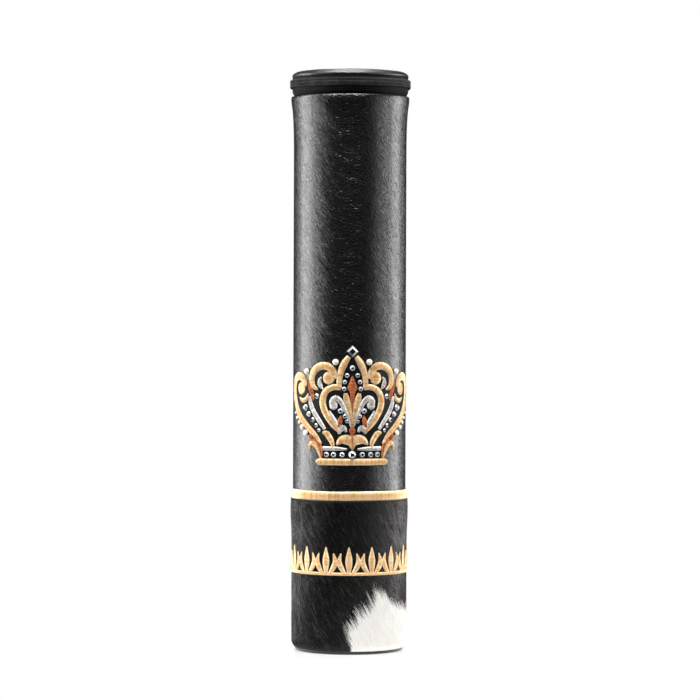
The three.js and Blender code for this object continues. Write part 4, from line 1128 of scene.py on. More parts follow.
def hide_field(low, high, base, top):
    """Square cells of the flat hide, and which of them are in the white patch."""
    x = np.arange(low, high, HIDE_CELL)
    y = np.arange(base, top, HIDE_CELL)
    gx, gy = [g.ravel() for g in np.meshgrid(x, y)]
    ragged = [noise.noise(Vector((x / TUFT_WIDTH, y / TUFT_LENGTH, 7.3)))
              + 0.5 * noise.noise(Vector((x, y / 2, 1.7))) for x, y in zip(gx, gy)]
    jitter = TUFT * np.array(ragged)
    middle_x, middle_y = gx + HIDE_CELL / 2, gy + HIDE_CELL / 2
    return gx, gy, inside(WHITE_PATCH, middle_x + jitter, middle_y - TUFT_SLANT * jitter)


def field_mesh(gx, gy):
    corners = np.array([(0, 0), (1, 0), (1, 1), (0, 1)]) * HIDE_CELL
    points = [(x + cx, y + cy, 0) for x, y in zip(gx, gy) for cx, cy in corners]
    mesh = bpy.data.meshes.new("field")
    mesh.from_pydata(points, [], [tuple(range(4 * i, 4 * i + 4)) for i in range(len(gx))])
    return mesh


print("white patch from", WHITE_PATCH[0][0], "to", WHITE_PATCH[-1][0], "mm round the hide")

# %% [markdown]
# No two hairs lie quite alike, but neighbours nearly do. The direction is therefore a sum: a slow
# turn round the hide, a broad wave for the locks, a small one for the clumps in them, and a little
# chance for each hair. The first part of the tree sows the roots and works the direction out.

# %% The hair tree: roots and lay
LOCK_SIZE, CLUMP_SIZE = 22, 2.4
LAY_SIDE, LAY_FRONT = math.radians(98), math.radians(122)  # hair stands steeper at the left side
LAY_SPAN = (-62.0, -12.0)
LOCK_SWING, CLUMP_SWING, STRAY = 0.9, 0.5, 0.09  # radians

coat, coat_in = new_tree("hair", {
    "Density": ("Float", 1.75), "Shortest": ("Float", 5.5), "Longest": ("Float", 10.5),
    "Top": ("Float", HIDE_TOP), "Thickness": ("Float", 0.22), "Lift": ("Float", 0.55),
    "Seed": ("Int", 1), "Material": ("Material", None)})
roots = node(coat, "GeometryNodeDistributePointsOnFaces",
             {"Mesh": coat_in["Geometry"], "Density": coat_in["Density"], "Seed": coat_in["Seed"]})
where = node(coat, "GeometryNodeInputPosition")
root_x, root_y, _ = node(coat, "ShaderNodeSeparateXYZ", {0: where}).outputs
lock = node(coat, "ShaderNodeTexNoise", {"Vector": where, "Scale": 1 / LOCK_SIZE, "Detail": 1.0})
clump = node(coat, "ShaderNodeTexNoise", {"Vector": where, "Scale": 1 / CLUMP_SIZE, "Detail": 1.0})
stray = node(coat, "FunctionNodeRandomValue",
             {2: -STRAY, 3: STRAY, 8: coat_in["Seed"]}, data_type="FLOAT")
lay = node(coat, "ShaderNodeMapRange",
           {"Value": root_x, "From Min": LAY_SPAN[0], "From Max": LAY_SPAN[1],
            "To Min": LAY_SIDE, "To Max": LAY_FRONT}, interpolation_type="SMOOTHSTEP")
lay = node(coat, "ShaderNodeMath", {0: lay, 1: stray.outputs[1]}, operation="ADD")
lay = node(coat, "ShaderNodeMath",
           {0: lock.outputs["Fac"], 1: LOCK_SWING, 2: lay}, operation="MULTIPLY_ADD")
lay = node(coat, "ShaderNodeMath",
           {0: clump.outputs["Fac"], 1: CLUMP_SWING, 2: lay}, operation="MULTIPLY_ADD")
lay = node(coat, "ShaderNodeMath", {0: lay, 1: (LOCK_SWING + CLUMP_SWING) / 2}, operation="SUBTRACT")
lay = node(coat, "ShaderNodeCombineXYZ", {"Z": lay})
lay = node(coat, "FunctionNodeEulerToRotation", {0: lay})
print("hair lies at", round(math.degrees(LAY_SIDE)), "to", round(math.degrees(LAY_FRONT)), "degrees")

# %% [markdown]
# One hair is a line of unit length that rises quickly, levels out and bends aside a little. Each copy
# is stretched to its own length, sway and lift, and is cut short under the band.

# %% The hair tree: the strand
HAIR_POINTS = 5
SWAY, LEAST_LIFT = 0.9, 0.2
BAND_COVER = 1.1  # hair may run under the band by a tenth of its length

length = node(coat, "FunctionNodeRandomValue",
              {2: coat_in["Shortest"], 3: coat_in["Longest"], 8: 11}, data_type="FLOAT")
room_above = node(coat, "ShaderNodeMath", {0: coat_in["Top"], 1: root_y}, operation="SUBTRACT")
room_above = node(coat, "ShaderNodeMath", {0: room_above, 1: BAND_COVER}, operation="MULTIPLY")
length = node(coat, "ShaderNodeMath", {0: length.outputs[1], 1: room_above}, operation="MINIMUM")
sway = node(coat, "FunctionNodeRandomValue", {2: -SWAY, 3: SWAY, 8: 12}, data_type="FLOAT")
lift = node(coat, "FunctionNodeRandomValue",
            {2: LEAST_LIFT, 3: coat_in["Lift"], 8: 13}, data_type="FLOAT")
stretch = node(coat, "ShaderNodeCombineXYZ",
               {"X": length, "Y": sway.outputs[1], "Z": lift.outputs[1]})
hair = node(coat, "GeometryNodeCurvePrimitiveLine", {"Start": (0, 0, 0), "End": (1, 0, 0)})
hair = node(coat, "GeometryNodeResampleCurve", {"Curve": hair, "Count": HAIR_POINTS}, mode="COUNT")
along = node(coat, "GeometryNodeSplineParameter").outputs["Factor"]
square = node(coat, "ShaderNodeMath", {0: along, 1: along}, operation="MULTIPLY")
rise = node(coat, "ShaderNodeMath", {0: along, 1: 2.0}, operation="MULTIPLY")
rise = node(coat, "ShaderNodeMath", {0: rise, 1: square}, operation="SUBTRACT")
bend = node(coat, "ShaderNodeCombineXYZ", {"Y": square, "Z": rise})
hair = node(coat, "GeometryNodeSetPosition", {"Geometry": hair, "Offset": bend})
hairs = node(coat, "GeometryNodeInstanceOnPoints",
             {"Points": roots, "Instance": hair, "Rotation": lay, "Scale": stretch})
print("a hair has", HAIR_POINTS, "points")

# %% [markdown]
# A coat shines in streaks, because whole locks catch the light together. So a noise that is drawn out
# along the hair sets both the tone of each strand, a painted sheen, and how far its flattened section
# is rolled over, which turns its real shine. Round the front right the black has a brown cast, partly
# the hair's colour and partly a painted sheen on that side, and a few odd hairs are pale. All this is
# stored on the copies, where the material can read it.

# %% The hair tree: streaks and odd hairs
STREAK_WAY, STREAK_LENGTH, STREAK_WIDTH = math.radians(-114), 12, 1.7
STREAK_SHEEN_TONE, STREAK_ROLL = 1.6, 3.4
OWN_TONE, OWN_ROLL = 0.6, (-1.9, -1.5)
ODD_SHARE = 0.035
BROWN_SHEEN_SPAN, COOL_SPAN = (14.0, 52.0), (62.0, 105.0)  # the brown cast comes and goes over these

along_hair = node(coat, "ShaderNodeVectorRotate",
                  {"Vector": where, "Angle": STREAK_WAY}, rotation_type="Z_AXIS")
narrow = node(coat, "ShaderNodeVectorMath",
              {0: along_hair, 1: (1 / STREAK_LENGTH, 1 / STREAK_WIDTH, 1)}, operation="MULTIPLY")
streak = node(coat, "ShaderNodeTexNoise", {"Vector": narrow, "Scale": 1.0, "Detail": 2.0})
own_tone = node(coat, "FunctionNodeRandomValue", {3: OWN_TONE, 8: 14}, data_type="FLOAT")
tone = node(coat, "ShaderNodeMath", {0: streak.outputs["Fac"], 1: STREAK_SHEEN_TONE, 2: own_tone.outputs[1]},
            operation="MULTIPLY_ADD")
own_roll = node(coat, "FunctionNodeRandomValue",
                {2: OWN_ROLL[0], 3: OWN_ROLL[1], 8: 15}, data_type="FLOAT")
roll = node(coat, "ShaderNodeMath", {0: streak.outputs["Fac"], 1: STREAK_ROLL, 2: own_roll.outputs[1]},
            operation="MULTIPLY_ADD")
chance = node(coat, "FunctionNodeRandomValue", {8: 16}, data_type="FLOAT")
odd = node(coat, "ShaderNodeMath",
           {0: chance.outputs[1], 1: 1 - ODD_SHARE}, operation="GREATER_THAN")
# The brown cast is partly the hair's colour and partly a painted sheen on the right side, and it
# follows the streaks.
warming = node(coat, "ShaderNodeMapRange",
               {"Value": root_x, "From Min": BROWN_SHEEN_SPAN[0], "From Max": BROWN_SHEEN_SPAN[1]},
               interpolation_type="SMOOTHSTEP")
cooling = node(coat, "ShaderNodeMapRange",
               {"Value": root_x, "From Min": COOL_SPAN[0], "From Max": COOL_SPAN[1],
                "To Min": 1.0, "To Max": 0.0}, interpolation_type="SMOOTHSTEP")
warm = node(coat, "ShaderNodeMath", {0: warming, 1: cooling}, operation="MULTIPLY")
warm = node(coat, "ShaderNodeMath", {0: warm, 1: tone}, operation="MULTIPLY")
for key, value in (("roll", roll), ("odd", odd), ("tone", tone), ("warm", warm)):
    hairs = node(coat, "GeometryNodeStoreNamedAttribute",
                 {"Geometry": hairs, "Name": key, "Value": value}, data_type="FLOAT",
                 domain="INSTANCE")
print("one hair in", round(1 / ODD_SHARE), "is pale")

# %% [markdown]
# Last, the lines get their bodies. Calf's hair is not quite round, so the section is a flat triangle
# that is rolled as the streaks say and tapers to the tip.

# %% The hair tree: bodies
HAIR_SIDES, FLATNESS, TIP_SHARE = 3, 0.7, 0.12

hairs = node(coat, "GeometryNodeRealizeInstances", {0: hairs})
roll_of = node(coat, "GeometryNodeInputNamedAttribute", {"Name": "roll"}, data_type="FLOAT")
hairs = node(coat, "GeometryNodeSetCurveTilt", {"Curve": hairs, "Tilt": roll_of})
taper = node(coat, "ShaderNodeMapRange", {"Value": square, "To Min": 1.0, "To Max": TIP_SHARE})
section = node(coat, "ShaderNodeMath", {0: coat_in["Thickness"], 1: 0.5}, operation="MULTIPLY")
section = node(coat, "GeometryNodeCurvePrimitiveCircle",
               {"Resolution": HAIR_SIDES, "Radius": section})
section = node(coat, "GeometryNodeTransform",
               {"Geometry": section, "Rotation": (0, 0, -math.pi / 2), "Scale": (FLATNESS, 1, 1)})
hairs = node(coat, "GeometryNodeCurveToMesh",
             {"Curve": hairs, "Profile Curve": section, "Scale": taper, "Fill Caps": True})
hairs = node(coat, "GeometryNodeSetShadeSmooth", {"Geometry": hairs})
close_tree(coat, hairs, coat_in["Material"])

# %% [markdown]
# Black cow hair is nearly black even in full light, and what shows is its shine, so its two tones are
# both very dark and the coat over them is strong. White hair is dull and slightly warm. The hide is
# sown in five strips, so that each piece stays small enough to handle.

# %% Cow hair
ODD_HAIR = "#57514c"
STRIPS, FEWEST_CELLS = 5, 20
BARE_EDGE = 2.5  # no hair is rooted this close to the band's line
WHITE_LENGTHS = {"Shortest": 7.5, "Longest": 13.5}


def hair_finish(name, dark, pale, roughness, level, warm=None):
    """Hair in tones between two colours, and in a third where it has a brown cast that is partly a
    painted sheen.
    """
    made, tree, shader = new_finish(name, Roughness=roughness, Specular_IOR_Level=level,
                                    Coat_Weight=0.30, Coat_Roughness=0.22)
    # Besides each hair's own tone, the tone carries the streaks, which are a painted sheen.
    tone_of = node(tree, "ShaderNodeAttribute", attribute_name="tone").outputs["Fac"]
    half_tone = node(tree, "ShaderNodeMapRange", {"Value": tone_of, "From Min": 0.3, "From Max": 1.7})
    colour = two_tone(tree, half_tone, dark, pale)
    if warm:
        brown_sheen_of = node(tree, "ShaderNodeAttribute", attribute_name="warm").outputs["Fac"]
        odd_of = node(tree, "ShaderNodeAttribute", attribute_name="odd").outputs["Fac"]
        colour = two_tone(tree, odd_of, two_tone(tree, brown_sheen_of, colour, warm), ODD_HAIR)
    tree.links.new(colour, shader.inputs["Base Color"])
    return made


black_hair = hair_finish("black cow hair", "#000000", "#090706", 0.26, 0.60, "#2a1f1b")
white_hair = hair_finish("white cow hair", "#dfdbd6", "#f6f4f1", 0.5, 0.5)
hide_half = math.pi * HAIR_ROOT
cuts = np.linspace(-hide_half, hide_half, STRIPS + 1)
for i, (low, high) in enumerate(zip(cuts[:-1], cuts[1:])):
    gx, gy, white = hide_field(low, high, SKIN_BASE, HIDE_TOP - BARE_EDGE)
    for colour, chosen, finish, lengths in (("black", ~white, black_hair, {}),
                                            ("white", white, white_hair, WHITE_LENGTHS)):
        if chosen.sum() < FEWEST_CELLS:
            continue
        sown = run(coat, field_mesh(gx[chosen], gy[chosen]),
                   {"Seed": 20 + i, "Material": finish, **lengths})
        flat = points_of(sown)
        flat[:, 2] -= foot_sink(flat[:, 1])
        sown.vertices.foreach_set("co", roll_up(flat, HAIR_ROOT).astype(np.float32).ravel())
        piece(f"hair_{colour}_{i + 1}", sown, finish, "case", "cowhide")

# %% [markdown]
# Under the hair is the skin, which shows wherever the hair parts, so it has the same patch: each of
# its points is marked as white or not, and the material reads the mark.

# %% Cowhide skin
SKIN_WALL, SKIN_SIDES = 0.4, 240
FOOT_ROWS, FIRST_STRAIGHT_ROW, STRAIGHT_ROWS = 12, 14, 50

skin, tree, shader = new_finish("cowhide skin", Roughness=0.8)
is_white = node(tree, "ShaderNodeAttribute", attribute_name="white").outputs["Fac"]
coloured(tree, shader, is_white, "#070606", "#cfc9c2")
skin_z = [*np.linspace(SKIN_BASE, SKIN_BASE + FOOT_HEIGHT, FOOT_ROWS),
          *np.linspace(FIRST_STRAIGHT_ROW, HIDE_TOP, STRAIGHT_ROWS)]
skin_outline = [(HAIR_ROOT - foot_sink(z), z) for z in skin_z]
skin_outline += [(r - SKIN_WALL, z) for r, z in reversed(skin_outline)]
skin_mesh = turned("hide_skin", skin_outline, SKIN_SIDES)
co = points_of(skin_mesh) / MM
skin_across = np.arctan2(co[:, 0], -co[:, 1]) * HAIR_ROOT
skin_mesh.attributes.new("white", "FLOAT", "POINT").data.foreach_set(
    "value", inside(WHITE_PATCH, skin_across, co[:, 2]).astype(np.float32))
piece("hide_skin", skin_mesh, skin, "case", "cowhide", "hide_sleeve")

# %% [markdown]
# The foot is a shallow dish of coated black leather that holds the base board. Its rim is the thin
# glossy line under the hide.

# %% Base
BASE_RADIUS, BASE_HEIGHT, BASE_WALL = 38.6, 3.0, 1.0
BASE_ROUND, BASE_CHAMFER = 0.9, 0.3
BASE_GRAIN = 1.2
MIDDLE_RING = 20  # a ring of points in a disc keeps its faces from being long slivers

base_leather, tree, shader = new_finish("black coated base leather", Base_Color=linear("#0c0c0e"),
                                        Roughness=0.3, Coat_Weight=0.5, Coat_Roughness=0.2)
base_grain = node(tree, "ShaderNodeTexVoronoi",
                  {"Vector": millimetres(tree), "Scale": 1 / BASE_GRAIN}, feature="DISTANCE_TO_EDGE")
raised(tree, shader, base_grain.outputs["Distance"], 0.12, 0.5)
dish = BASE_RADIUS - BASE_WALL
base_outline = [(0, 0), (MIDDLE_RING, 0), (dish, 0),
                *arc((BASE_RADIUS - BASE_ROUND, BASE_ROUND), BASE_ROUND, -80, 0, 6),
                (BASE_RADIUS, BASE_HEIGHT - BASE_CHAMFER), (BASE_RADIUS - BASE_CHAMFER, BASE_HEIGHT),
                (dish, BASE_HEIGHT), (dish, BASE_WALL), (MIDDLE_RING, BASE_WALL), (0, BASE_WALL)]
piece("base_leather", turned("base_leather", base_outline), base_leather, "case", "black_leather",
      "base_cover")

# %% [markdown]
# The zip tape is a narrow woven polyester band, with cords along it and a herringbone weave. The
# ribs are wide enough to show on the edge of the tube, so they are in the outline. The weave is a
# bump: slanted bands that turn about at each rib.

# %% Zip tapes
RIB_PITCH, RIB_RISE, RIB_ROUNDNESS, RIB_STEP = 1.30, 0.24, 0.6, 0.14
WEAVE_PITCH = 0.55
BANDS = 3.3  # a wave texture has about this many bands in one unit of its coordinates
TAPE_SIDES = 240
TAPE_WALL, TAPE_STOP = 0.6, 0.9
TAPE_FOOT = HEM_TOP - 8
TAPE_BEND = [(0, 1.3), (0.9, 0.7), (2.0, 0.2), (2.8, 0)]  # height over the hem, and how far inwards
INNER_BEND = (0.3, 3)  # heights over the hem where the inner face bends
FLANGE, FLANGE_ROUND, FLANGE_INSET = 2.9, 0.2, 0.25
FLANGE_TOP = LID_EDGE - 0.3

tape_cloth, tree, shader = new_finish("woven polyester zip tape", Specular_IOR_Level=0.10,
                                      Roughness=0.68, Sheen_Weight=0.04, Sheen_Roughness=0.4)
strands = node(tree, "ShaderNodeTexWave",
               {"Vector": unrolled(tree, TAPE), "Scale": 1 / (WEAVE_PITCH * BANDS), "Distortion": 0.4},
               bands_direction="DIAGONAL")
picks = node(tree, "ShaderNodeTexWave",
             {"Vector": unrolled(tree, TAPE), "Scale": 1 / (RIB_PITCH * BANDS)}, bands_direction="Y")
weave = node(tree, "ShaderNodeMath",
             {0: strands.outputs["Fac"], 1: picks.outputs["Fac"]}, operation="MULTIPLY")
raised(tree, shader, weave, 0.16, 0.9)
coloured(tree, shader, weave, "#020202", "#0d0d0f")


def ribbed(low, high):
    """The outside of a tape from one height to another, with its ribs."""
    z = np.linspace(low, high, int((high - low) / RIB_STEP))
    rise = [RIB_RISE * abs(math.sin(math.pi * (h - low) / RIB_PITCH)) ** RIB_ROUNDNESS for h in z]
    return [(TAPE - RIB_RISE + r, h) for r, h in zip(rise, z)]


bend_z = [HEM_TOP + up for up, _ in TAPE_BEND]
bend_r = [TAPE - inwards for _, inwards in TAPE_BEND]
tape_in, tucked = TAPE - TAPE_WALL, bend_r[0]
body_ribs = [(r - TAPE + np.interp(z, bend_z, bend_r), z)
             for r, z in ribbed(HEM_TOP, ZIP_LINE - TAPE_STOP)]
body_tape = [(tucked - TAPE_WALL, TAPE_FOOT), (tucked, TAPE_FOOT), *body_ribs,
             (tape_in, ZIP_LINE - TAPE_STOP), (tape_in, HEM_TOP + INNER_BEND[1]),
             (tucked - TAPE_WALL, HEM_TOP + INNER_BEND[0])]
lid_tape = [(tape_in, ZIP_LINE + TAPE_STOP), *ribbed(ZIP_LINE + TAPE_STOP, FLANGE_TOP - FLANGE_ROUND),
            (TAPE - FLANGE_INSET, FLANGE_TOP), (TAPE - FLANGE, FLANGE_TOP),
            (TAPE - FLANGE, FLANGE_TOP - TAPE_WALL), (tape_in, FLANGE_TOP - TAPE_WALL)]
for name, outline, body in (("body", body_tape, "case"), ("lid", lid_tape, "lid")):
    piece(f"{name}_tape", turned(f"{name}_tape", outline, TAPE_SIDES), tape_cloth, body, "zip_tape",
          f"{name}_zip_tape")

# %% [markdown]
# The zip's teeth are one nylon wire, coiled and pressed into flat loops, and each loop ends in a
# head that snaps between two loops of the other row. Seen from outside, the upper legs lie side by
# side across the row, and a line of sewing on each row holds them on its tape. A curve with a bevel
# could give the wire its body, but the head has to be pressed wider than the legs, so one loop is
# lofted from rings. The tree sets out a row of them. The other row is its mirror image, half a pitch
# further on.

# %% One tooth and one stitch
WIRE, WIRE_SIDES = 0.23, 5
LOOP_PATH = [(0.18, -2.86, 0.60), (0.14, -2.55, 0.32), (0.05, -1.2, 0.30), (0, 0.20, 0.34),
             (0, 0.60, 0.72), (0, 0.30, 1.20), (0.06, -1.2, 1.40), (0.14, -2.45, 1.26),
             (0.20, -2.86, 0.85)]
HEAD, HEAD_WIDTH = (3, 4, 5), 1.15  # the places on the path where the wire is pressed wider
STITCH_STEPS, STITCH_SIDES = 5, 4
STITCH_LENGTH, STITCH_WIDTH, STITCH_RISE = 1.5, 0.34, 0.2


def lofted(rings, inside_out=False):
    """Points and faces of a skin over rings of equally many points, with a cap at each end."""
    count = len(rings[0])
    points = np.array(rings, float).reshape(-1, 3).tolist()
    faces = [tuple(range(count))[::-1], tuple(range(len(points) - count, len(points)))]
    for start in range(0, len(points) - count, count):
        for k in range(count):
            n = (k + 1) % count
            faces.append((start + k, start + n, start + count + n, start + count + k))
    return points, [face[::-1] for face in faces] if inside_out else faces


def model_mesh(name, points, faces):
    mesh = bpy.data.meshes.new(name)
    mesh.from_pydata(points, [], faces)
    return mesh


def loop_mesh(side):
    """One tooth. Across the zip it runs from the tape's edge past the middle, on the given side."""
    path = np.array(LOOP_PATH)
    rings = []
    for i, here in enumerate(path):
        heading = path[min(i + 1, len(path) - 1)] - path[max(i - 1, 0)]
        heading = heading / np.linalg.norm(heading)
        wide = np.array([1.0, 0, 0]) - heading * heading[0]
        wide /= np.linalg.norm(wide)
        other = np.cross(heading, wide)
        flat = HEAD_WIDTH if i in HEAD else 1.0
        rings.append([here + wide * WIRE * flat * math.cos(a) + other * WIRE * math.sin(a)
                      for a in 2 * np.pi * np.arange(WIRE_SIDES) / WIRE_SIDES])
    return model_mesh("loop", *lofted(np.array(rings) * (1, -side, 1), side > 0))


def stitch_mesh():
    """A single laid stitch along X, round on top and dipping at its ends."""
    rings = []
    corners = math.pi / 4 + 2 * math.pi * np.arange(STITCH_SIDES) / STITCH_SIDES
    for t in np.linspace(-1, 1, STITCH_STEPS):
        size = STITCH_WIDTH / 2 * math.sqrt(max(0.12, 1 - t * t))
        rings.append([(t * STITCH_LENGTH / 2, size * math.cos(a),
                       STITCH_RISE * (1 - 0.8 * t * t) + size * math.sin(a)) for a in corners])
    return model_mesh("stitch", *lofted(rings, True))


print("a tooth has", len(LOOP_PATH) * WIRE_SIDES, "points")

# %% Coil zip
PITCH = 1.4975  # two degrees round the tube, so the slider stops in step with the teeth
TEETH = 138
COIL_MIDDLE = 42.9
FIRST_TOOTH = math.radians(134.47)
SEW_LINE, SEW_HEIGHT = 2.05, 1.30
COIL_ROWS = ((-1, 0.75, "case", "body_zip_coil"), (1, 0.25, "lid", "lid_zip_coil"))

nylon, tree, shader = new_finish("black nylon coil", Roughness=0.45, IOR=1.53,
                                 Specular_IOR_Level=0.25)
tone_of = node(tree, "ShaderNodeAttribute", attribute_name="tone").outputs["Fac"]
coloured(tree, shader, tone_of, "#1c1a19", "#3a3532")
coil_seat = COIL_BACK - COIL_MIDDLE
for side, phase, body, replaced in COIL_ROWS:
    row = [FIRST_TOOTH * COIL_MIDDLE - (i + phase) * PITCH for i in range(TEETH)]
    teeth = [(x, ZIP_LINE, coil_seat, 1, 0) for x in row]
    sewn_at = ZIP_LINE + side * SEW_LINE
    sewing = [(x + PITCH / 2, sewn_at, coil_seat + SEW_HEIGHT, 1, 0) for x in row[1:]]
    piece(f"{body}_coil_loops", set_on(loop_mesh(side), teeth, COIL_MIDDLE, nylon), nylon, body,
          "zip_coil", replaced)
    piece(f"{body}_coil_sewing", set_on(stitch_mesh(), sewing, COIL_MIDDLE, black_thread),
          black_thread, body, "black_thread")

# %% [markdown]
# The lid is a board with a thin foam on it, under leather that is drawn over the rim and sewn to the
# tape. Cloth simulation could drape it, but leather that is stretched over a board shows no folds. So
# it is modelled as what it is, a padded disc: the outline domes slightly and rolls over the edge,
# small gathers pull at the rim where the leather is drawn in, and its top is a little uneven.

# %% Padded lid
LID_PLACES = [(41.55, 410.6), (41.75, 411.2), (41.35, 412.4), (40.2, 413.5), (38.2, 414.4),
              (35.0, 414.95), (29.0, 415.35), (18.0, 415.75), (6.0, 416.0)]
LID_INSIDE = [(0, 414.9), (20, 414.6), (30.0, 414.2), (36.0, 413.6), (38.8, 412.4), (40.2, 411.4),
              (40.5, 410.6), (41.3, 410.55)]
LID_CROWN = (0, 416.05)
LID_SIDES = 300
LID_SEAM = 410.7  # the leather's face is above this
GATHERS, GATHER_DEPTH = 62, 0.07
GATHER_START, GATHER_REACH = 34, 7  # they deepen outwards from this radius, over this distance
GATHER_TOP, GATHER_FADE = 413.6, 3  # and downwards from this height
UNEVEN_FROM, UNEVEN_SIZE, UNEVEN_DEPTH = 414.6, 15, 0.22


def lid_shape(angle, radius, height):
    """Pulls gathers into the rim and makes the top uneven."""
    outwards = np.clip((radius - GATHER_START) / GATHER_REACH, 0, 1) * (height > LID_SEAM)
    downwards = np.clip((GATHER_TOP - height) / GATHER_FADE, 0, 1)
    gather = GATHER_DEPTH * outwards * np.cos(GATHERS * angle + 3 * np.sin(5 * angle)) * downwards
    across, along = radius * np.sin(angle) / UNEVEN_SIZE, radius * np.cos(angle) / UNEVEN_SIZE
    soft = np.array([noise.noise(Vector((x, y, 2.0))) for x, y in zip(across, along)])
    return radius + gather, height + np.where(height > UNEVEN_FROM, UNEVEN_DEPTH * (soft - 0.4), 0)


lid_outline = [*LID_INSIDE, *smooth_line(LID_PLACES), LID_CROWN]
lid_cover = piece("lid_leather", turned("lid_leather", lid_outline, LID_SIDES, lid_shape, 70),
                  lid_leather, "lid", "black_leather", "lid_cover")

# %% [markdown]
# Inside, a black lining cloth is glued to the board tube and turned over its rim, and another closes
# the lid. The soft pad that the scroll stands on is covered in the same cloth. They are smooth turned
# pieces, and a fine plain weave is their bump: warp one way and weft the other.

# %% Linings and pad
CLOTH_BANDS = 0.45  # threads come 0.7 mm apart, coarser than the real cloth, so that they show
LINING_IN, LINING_OUT, LINING_FOOT, LINING_TOP = 35.0, 35.8, 3.6, 403.6
LIP_IN, LIP_OUT, LIP_DEPTH, LIP_UNDER, LIP_ROUND = 38.6, 39.3, 13.6, 403.0, 0.5
LID_LINING_RADIUS, LID_LINING_LOW, LID_LINING_HIGH = 40.3, 408.6, 409.4
PAD_OUTLINE = [(0, 3.2), (30, 3.2), (34.5, 3.2), (34.7, 3.8), (34.6, 4.9), (34.0, 5.7), (32.5, 6.1),
               (20, 6.2), (0, 6.2)]

lining, tree, shader = new_finish("black lining cloth", Roughness=0.75, Sheen_Weight=0.4,
                                  Sheen_Roughness=0.35)
warp, weft = [node(tree, "ShaderNodeTexWave",
                   {"Vector": millimetres(tree), "Scale": CLOTH_BANDS}, bands_direction=way)
              for way in ("Z", "X")]
cloth = node(tree, "ShaderNodeMath",
             {0: warp.outputs["Fac"], 1: weft.outputs["Fac"]}, operation="ADD")
raised(tree, shader, cloth, 0.08, 0.6)
coloured(tree, shader, cloth, "#0d0c0d", "#211e20")
lip_foot, round_height = LINING_TOP - LIP_DEPTH, LINING_TOP - LIP_ROUND
lining_outline = [(LINING_IN, LINING_FOOT), (LINING_OUT, LINING_FOOT), (LINING_OUT, LIP_UNDER),
                  (LIP_IN, LIP_UNDER), (LIP_IN, lip_foot), (LIP_OUT, lip_foot),
                  *arc((LIP_OUT - LIP_ROUND, round_height), LIP_ROUND, 0, 90),
                  *arc((LINING_IN + LIP_ROUND, round_height), LIP_ROUND, 90, 180)]
lid_half = (LID_LINING_HIGH - LID_LINING_LOW) / 2
lid_lining_outline = [(0, LID_LINING_LOW), (MIDDLE_RING, LID_LINING_LOW),
                      (LID_LINING_RADIUS, LID_LINING_LOW),
                      *arc((LID_LINING_RADIUS, LID_LINING_LOW + lid_half), lid_half, -70, 70),
                      (LID_LINING_RADIUS, LID_LINING_HIGH), (0, LID_LINING_HIGH)]
piece("lining_cloth", turned("lining_cloth", lining_outline), lining, "case", "lining_cloth",
      "body_lining")
piece("lid_lining_cloth", turned("lid_lining_cloth", lid_lining_outline), lining, "lid", "lining_cloth",
      "lid_lining")
base_pad = piece("base_pad_cloth", turned("base_pad_cloth", PAD_OUTLINE), lining, "case",
                 "lining_cloth", "base_pad")

# %% [markdown]
# At the back the zip stops, and a strip of leather over both tapes is the lid's hinge. Two stiff
# parts would gape when the lid opens, and leather stretches round a bend, so the strip is one mesh
# that spans the case and the lid.

# %% Hinge tab
TAB_HALF = math.radians(35.5)
TAB_IN, TAB_OUT = 41.8, 42.8
TAB_LOW, TAB_HIGH = 397.9, 410.4
TAB_COLUMNS, TAB_ROWS = 72, 18
SKIVED_SHARE = 0.10  # the part of the half height over which a long edge is pared down
SKIVED_WALL = 0.35  # and the share of the wall that is left at its end


def strip_mesh():
    """A curved strip at the back with pared long edges."""
    section = []
    for t in np.linspace(-1, 1, TAB_ROWS):
        into_edge = max(0, (abs(t) - (1 - SKIVED_SHARE)) / SKIVED_SHARE)
        wall = SKIVED_WALL + (1 - SKIVED_WALL) * math.sqrt(max(0, 1 - into_edge ** 2))
        height = TAB_LOW + (TAB_HIGH - TAB_LOW) * (t + 1) / 2
        section.append((TAB_IN + (TAB_OUT - TAB_IN) * wall, height))
    section += [(TAB_IN, TAB_HIGH), (TAB_IN, TAB_LOW)]
    angles = math.pi + TAB_HALF * np.linspace(-1, 1, TAB_COLUMNS)
    rings = [[(r * math.sin(a), -r * math.cos(a), z) for r, z in section] for a in angles]
    return mesh_of("hinge", *lofted(rings, True), smooth=50)


tab_mesh = strip_mesh()
tab_mesh.materials.append(tube_leather)
tab = bpy.data.objects.new("hinge_leather", tab_mesh)
bpy.context.scene.collection.objects.link(tab)
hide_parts("hinge_tab")
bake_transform(tab)
print("hinge tab", round(2 * math.degrees(TAB_HALF)), "degrees round the back")

# %% [markdown]
# The slider and its pull are cast zinc with a black nickel plate. Their solids are right as they
# are, so copies of them are taken, their doubles are merged, and a small bevel breaks the edges.

# %% Slider and pull
BEVEL = 0.14
MERGE_DISTANCE = 1e-6  # metres
FLAT_ANGLE, BEVEL_ANGLE, SHARP_ANGLE = math.radians(2), math.radians(30), math.radians(35)

plated, tree, shader = new_finish("black nickel plated zinc", Metallic=1.0, Roughness=0.26)
wear = node(tree, "ShaderNodeTexNoise", {"Vector": millimetres(tree), "Scale": 0.9, "Detail": 4.0})
coloured(tree, shader, wear.outputs["Fac"], "#2a2a2e", "#55555c")


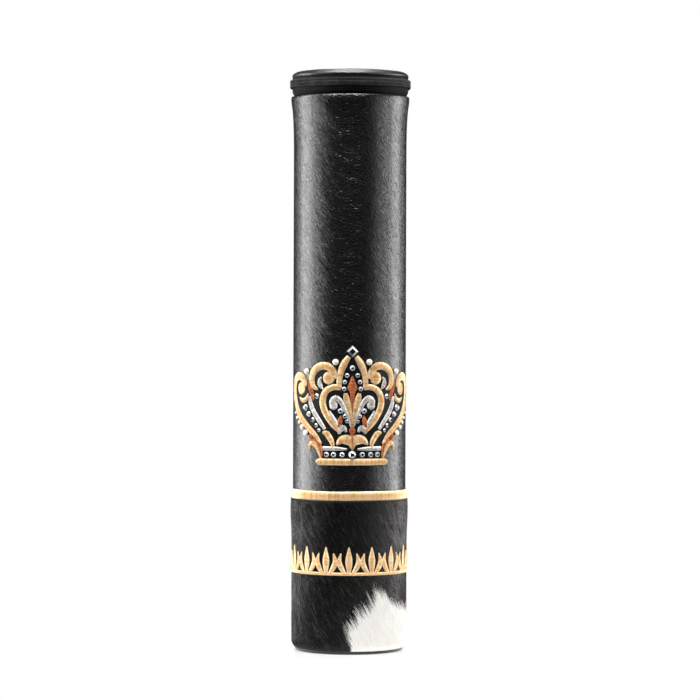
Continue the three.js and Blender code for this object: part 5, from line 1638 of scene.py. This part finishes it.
def broken_edges(name, node_name, body):
    """A copy of a node's solid with a small bevel on its edges."""
    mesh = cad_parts[node_name].data.copy()
    worked = bmesh.new()
    worked.from_mesh(mesh)
    bmesh.ops.remove_doubles(worked, verts=worked.verts[:], dist=MERGE_DISTANCE)
    bmesh.ops.dissolve_limit(worked, angle_limit=FLAT_ANGLE, verts=worked.verts[:],
                             edges=worked.edges[:])
    worked.to_mesh(mesh)
    worked.free()
    made = bpy.data.objects.new("rough", mesh)
    bpy.context.scene.collection.objects.link(made)
    bevel = made.modifiers.new("edges", "BEVEL")
    bevel.width = BEVEL * MM
    bevel.segments = 2
    bevel.angle_limit = BEVEL_ANGLE
    graph = bpy.context.evaluated_depsgraph_get()
    mesh = bpy.data.meshes.new_from_object(made.evaluated_get(graph), depsgraph=graph)
    bpy.data.objects.remove(made)
    mesh.shade_smooth()
    mesh.set_sharp_from_angle(angle=SHARP_ANGLE)
    piece(name, mesh, plated, body, "zip_metal", node_name)


broken_edges("slider_casting", "slider_body", "slider")
broken_edges("pull_casting", "pull_tab", "pull")

# %% [markdown]
# What holds the case in shape only shows where it is taken apart: a tube and two discs of grey board,
# and a thin foam under the lid's leather. The tube's foot is skived thin, so that the hide can be
# drawn in round it. The lid's board keeps its own solid, which is right as it is.

# %% Board and foam
TUBE_IN, TUBE_OUT, TUBE_FOOT, TUBE_TOP = 36.0, 38.4, 3.2, 402.8
SKIVED_FOOT, SKIVED_HEIGHT = 37.0, 10
BOARD_BASE, BOARD_TOP, BOARD_RADIUS = 1.2, 2.9, 36.0
FOAM_OUTLINE = [(0, 413.1), (20, 413.1), (36.5, 413.1), (34.0, 413.7), (26.0, 414.1), (12.0, 414.4),
                (0, 414.5)]

card, tree, shader = new_finish("grey board", Roughness=0.9)
fibres = node(tree, "ShaderNodeTexNoise", {"Vector": millimetres(tree), "Scale": 0.8, "Detail": 6.0})
coloured(tree, shader, fibres.outputs["Fac"], "#8d7a58", "#c6b088")
foam, tree, shader = new_finish("cream polyurethane foam", Roughness=0.95)
cells = node(tree, "ShaderNodeTexVoronoi", {"Vector": millimetres(tree), "Scale": 2.0})
coloured(tree, shader, cells.outputs["Distance"], "#b9b3a2", "#e3decf")
core_outline = [(TUBE_IN, TUBE_FOOT), (SKIVED_FOOT, TUBE_FOOT), (TUBE_OUT, SKIVED_HEIGHT),
                (TUBE_OUT, TUBE_TOP), (TUBE_IN, TUBE_TOP)]
piece("board_tube", turned("board_tube", core_outline), card, "case", "board", "core_tube")
board_outline = [(0, BOARD_BASE), (MIDDLE_RING, BOARD_BASE), (BOARD_RADIUS, BOARD_BASE),
                 (BOARD_RADIUS, BOARD_TOP), (MIDDLE_RING, BOARD_TOP), (0, BOARD_TOP)]
piece("foot_board", turned("foot_board", board_outline), card, "case", "board", "base_board")
foam_disc = piece("foam_disc", turned("foam_disc", FOAM_OUTLINE), foam, "lid", "foam", "lid_foam")
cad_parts["lid_board"].data.materials.clear()
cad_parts["lid_board"].data.materials.append(card)
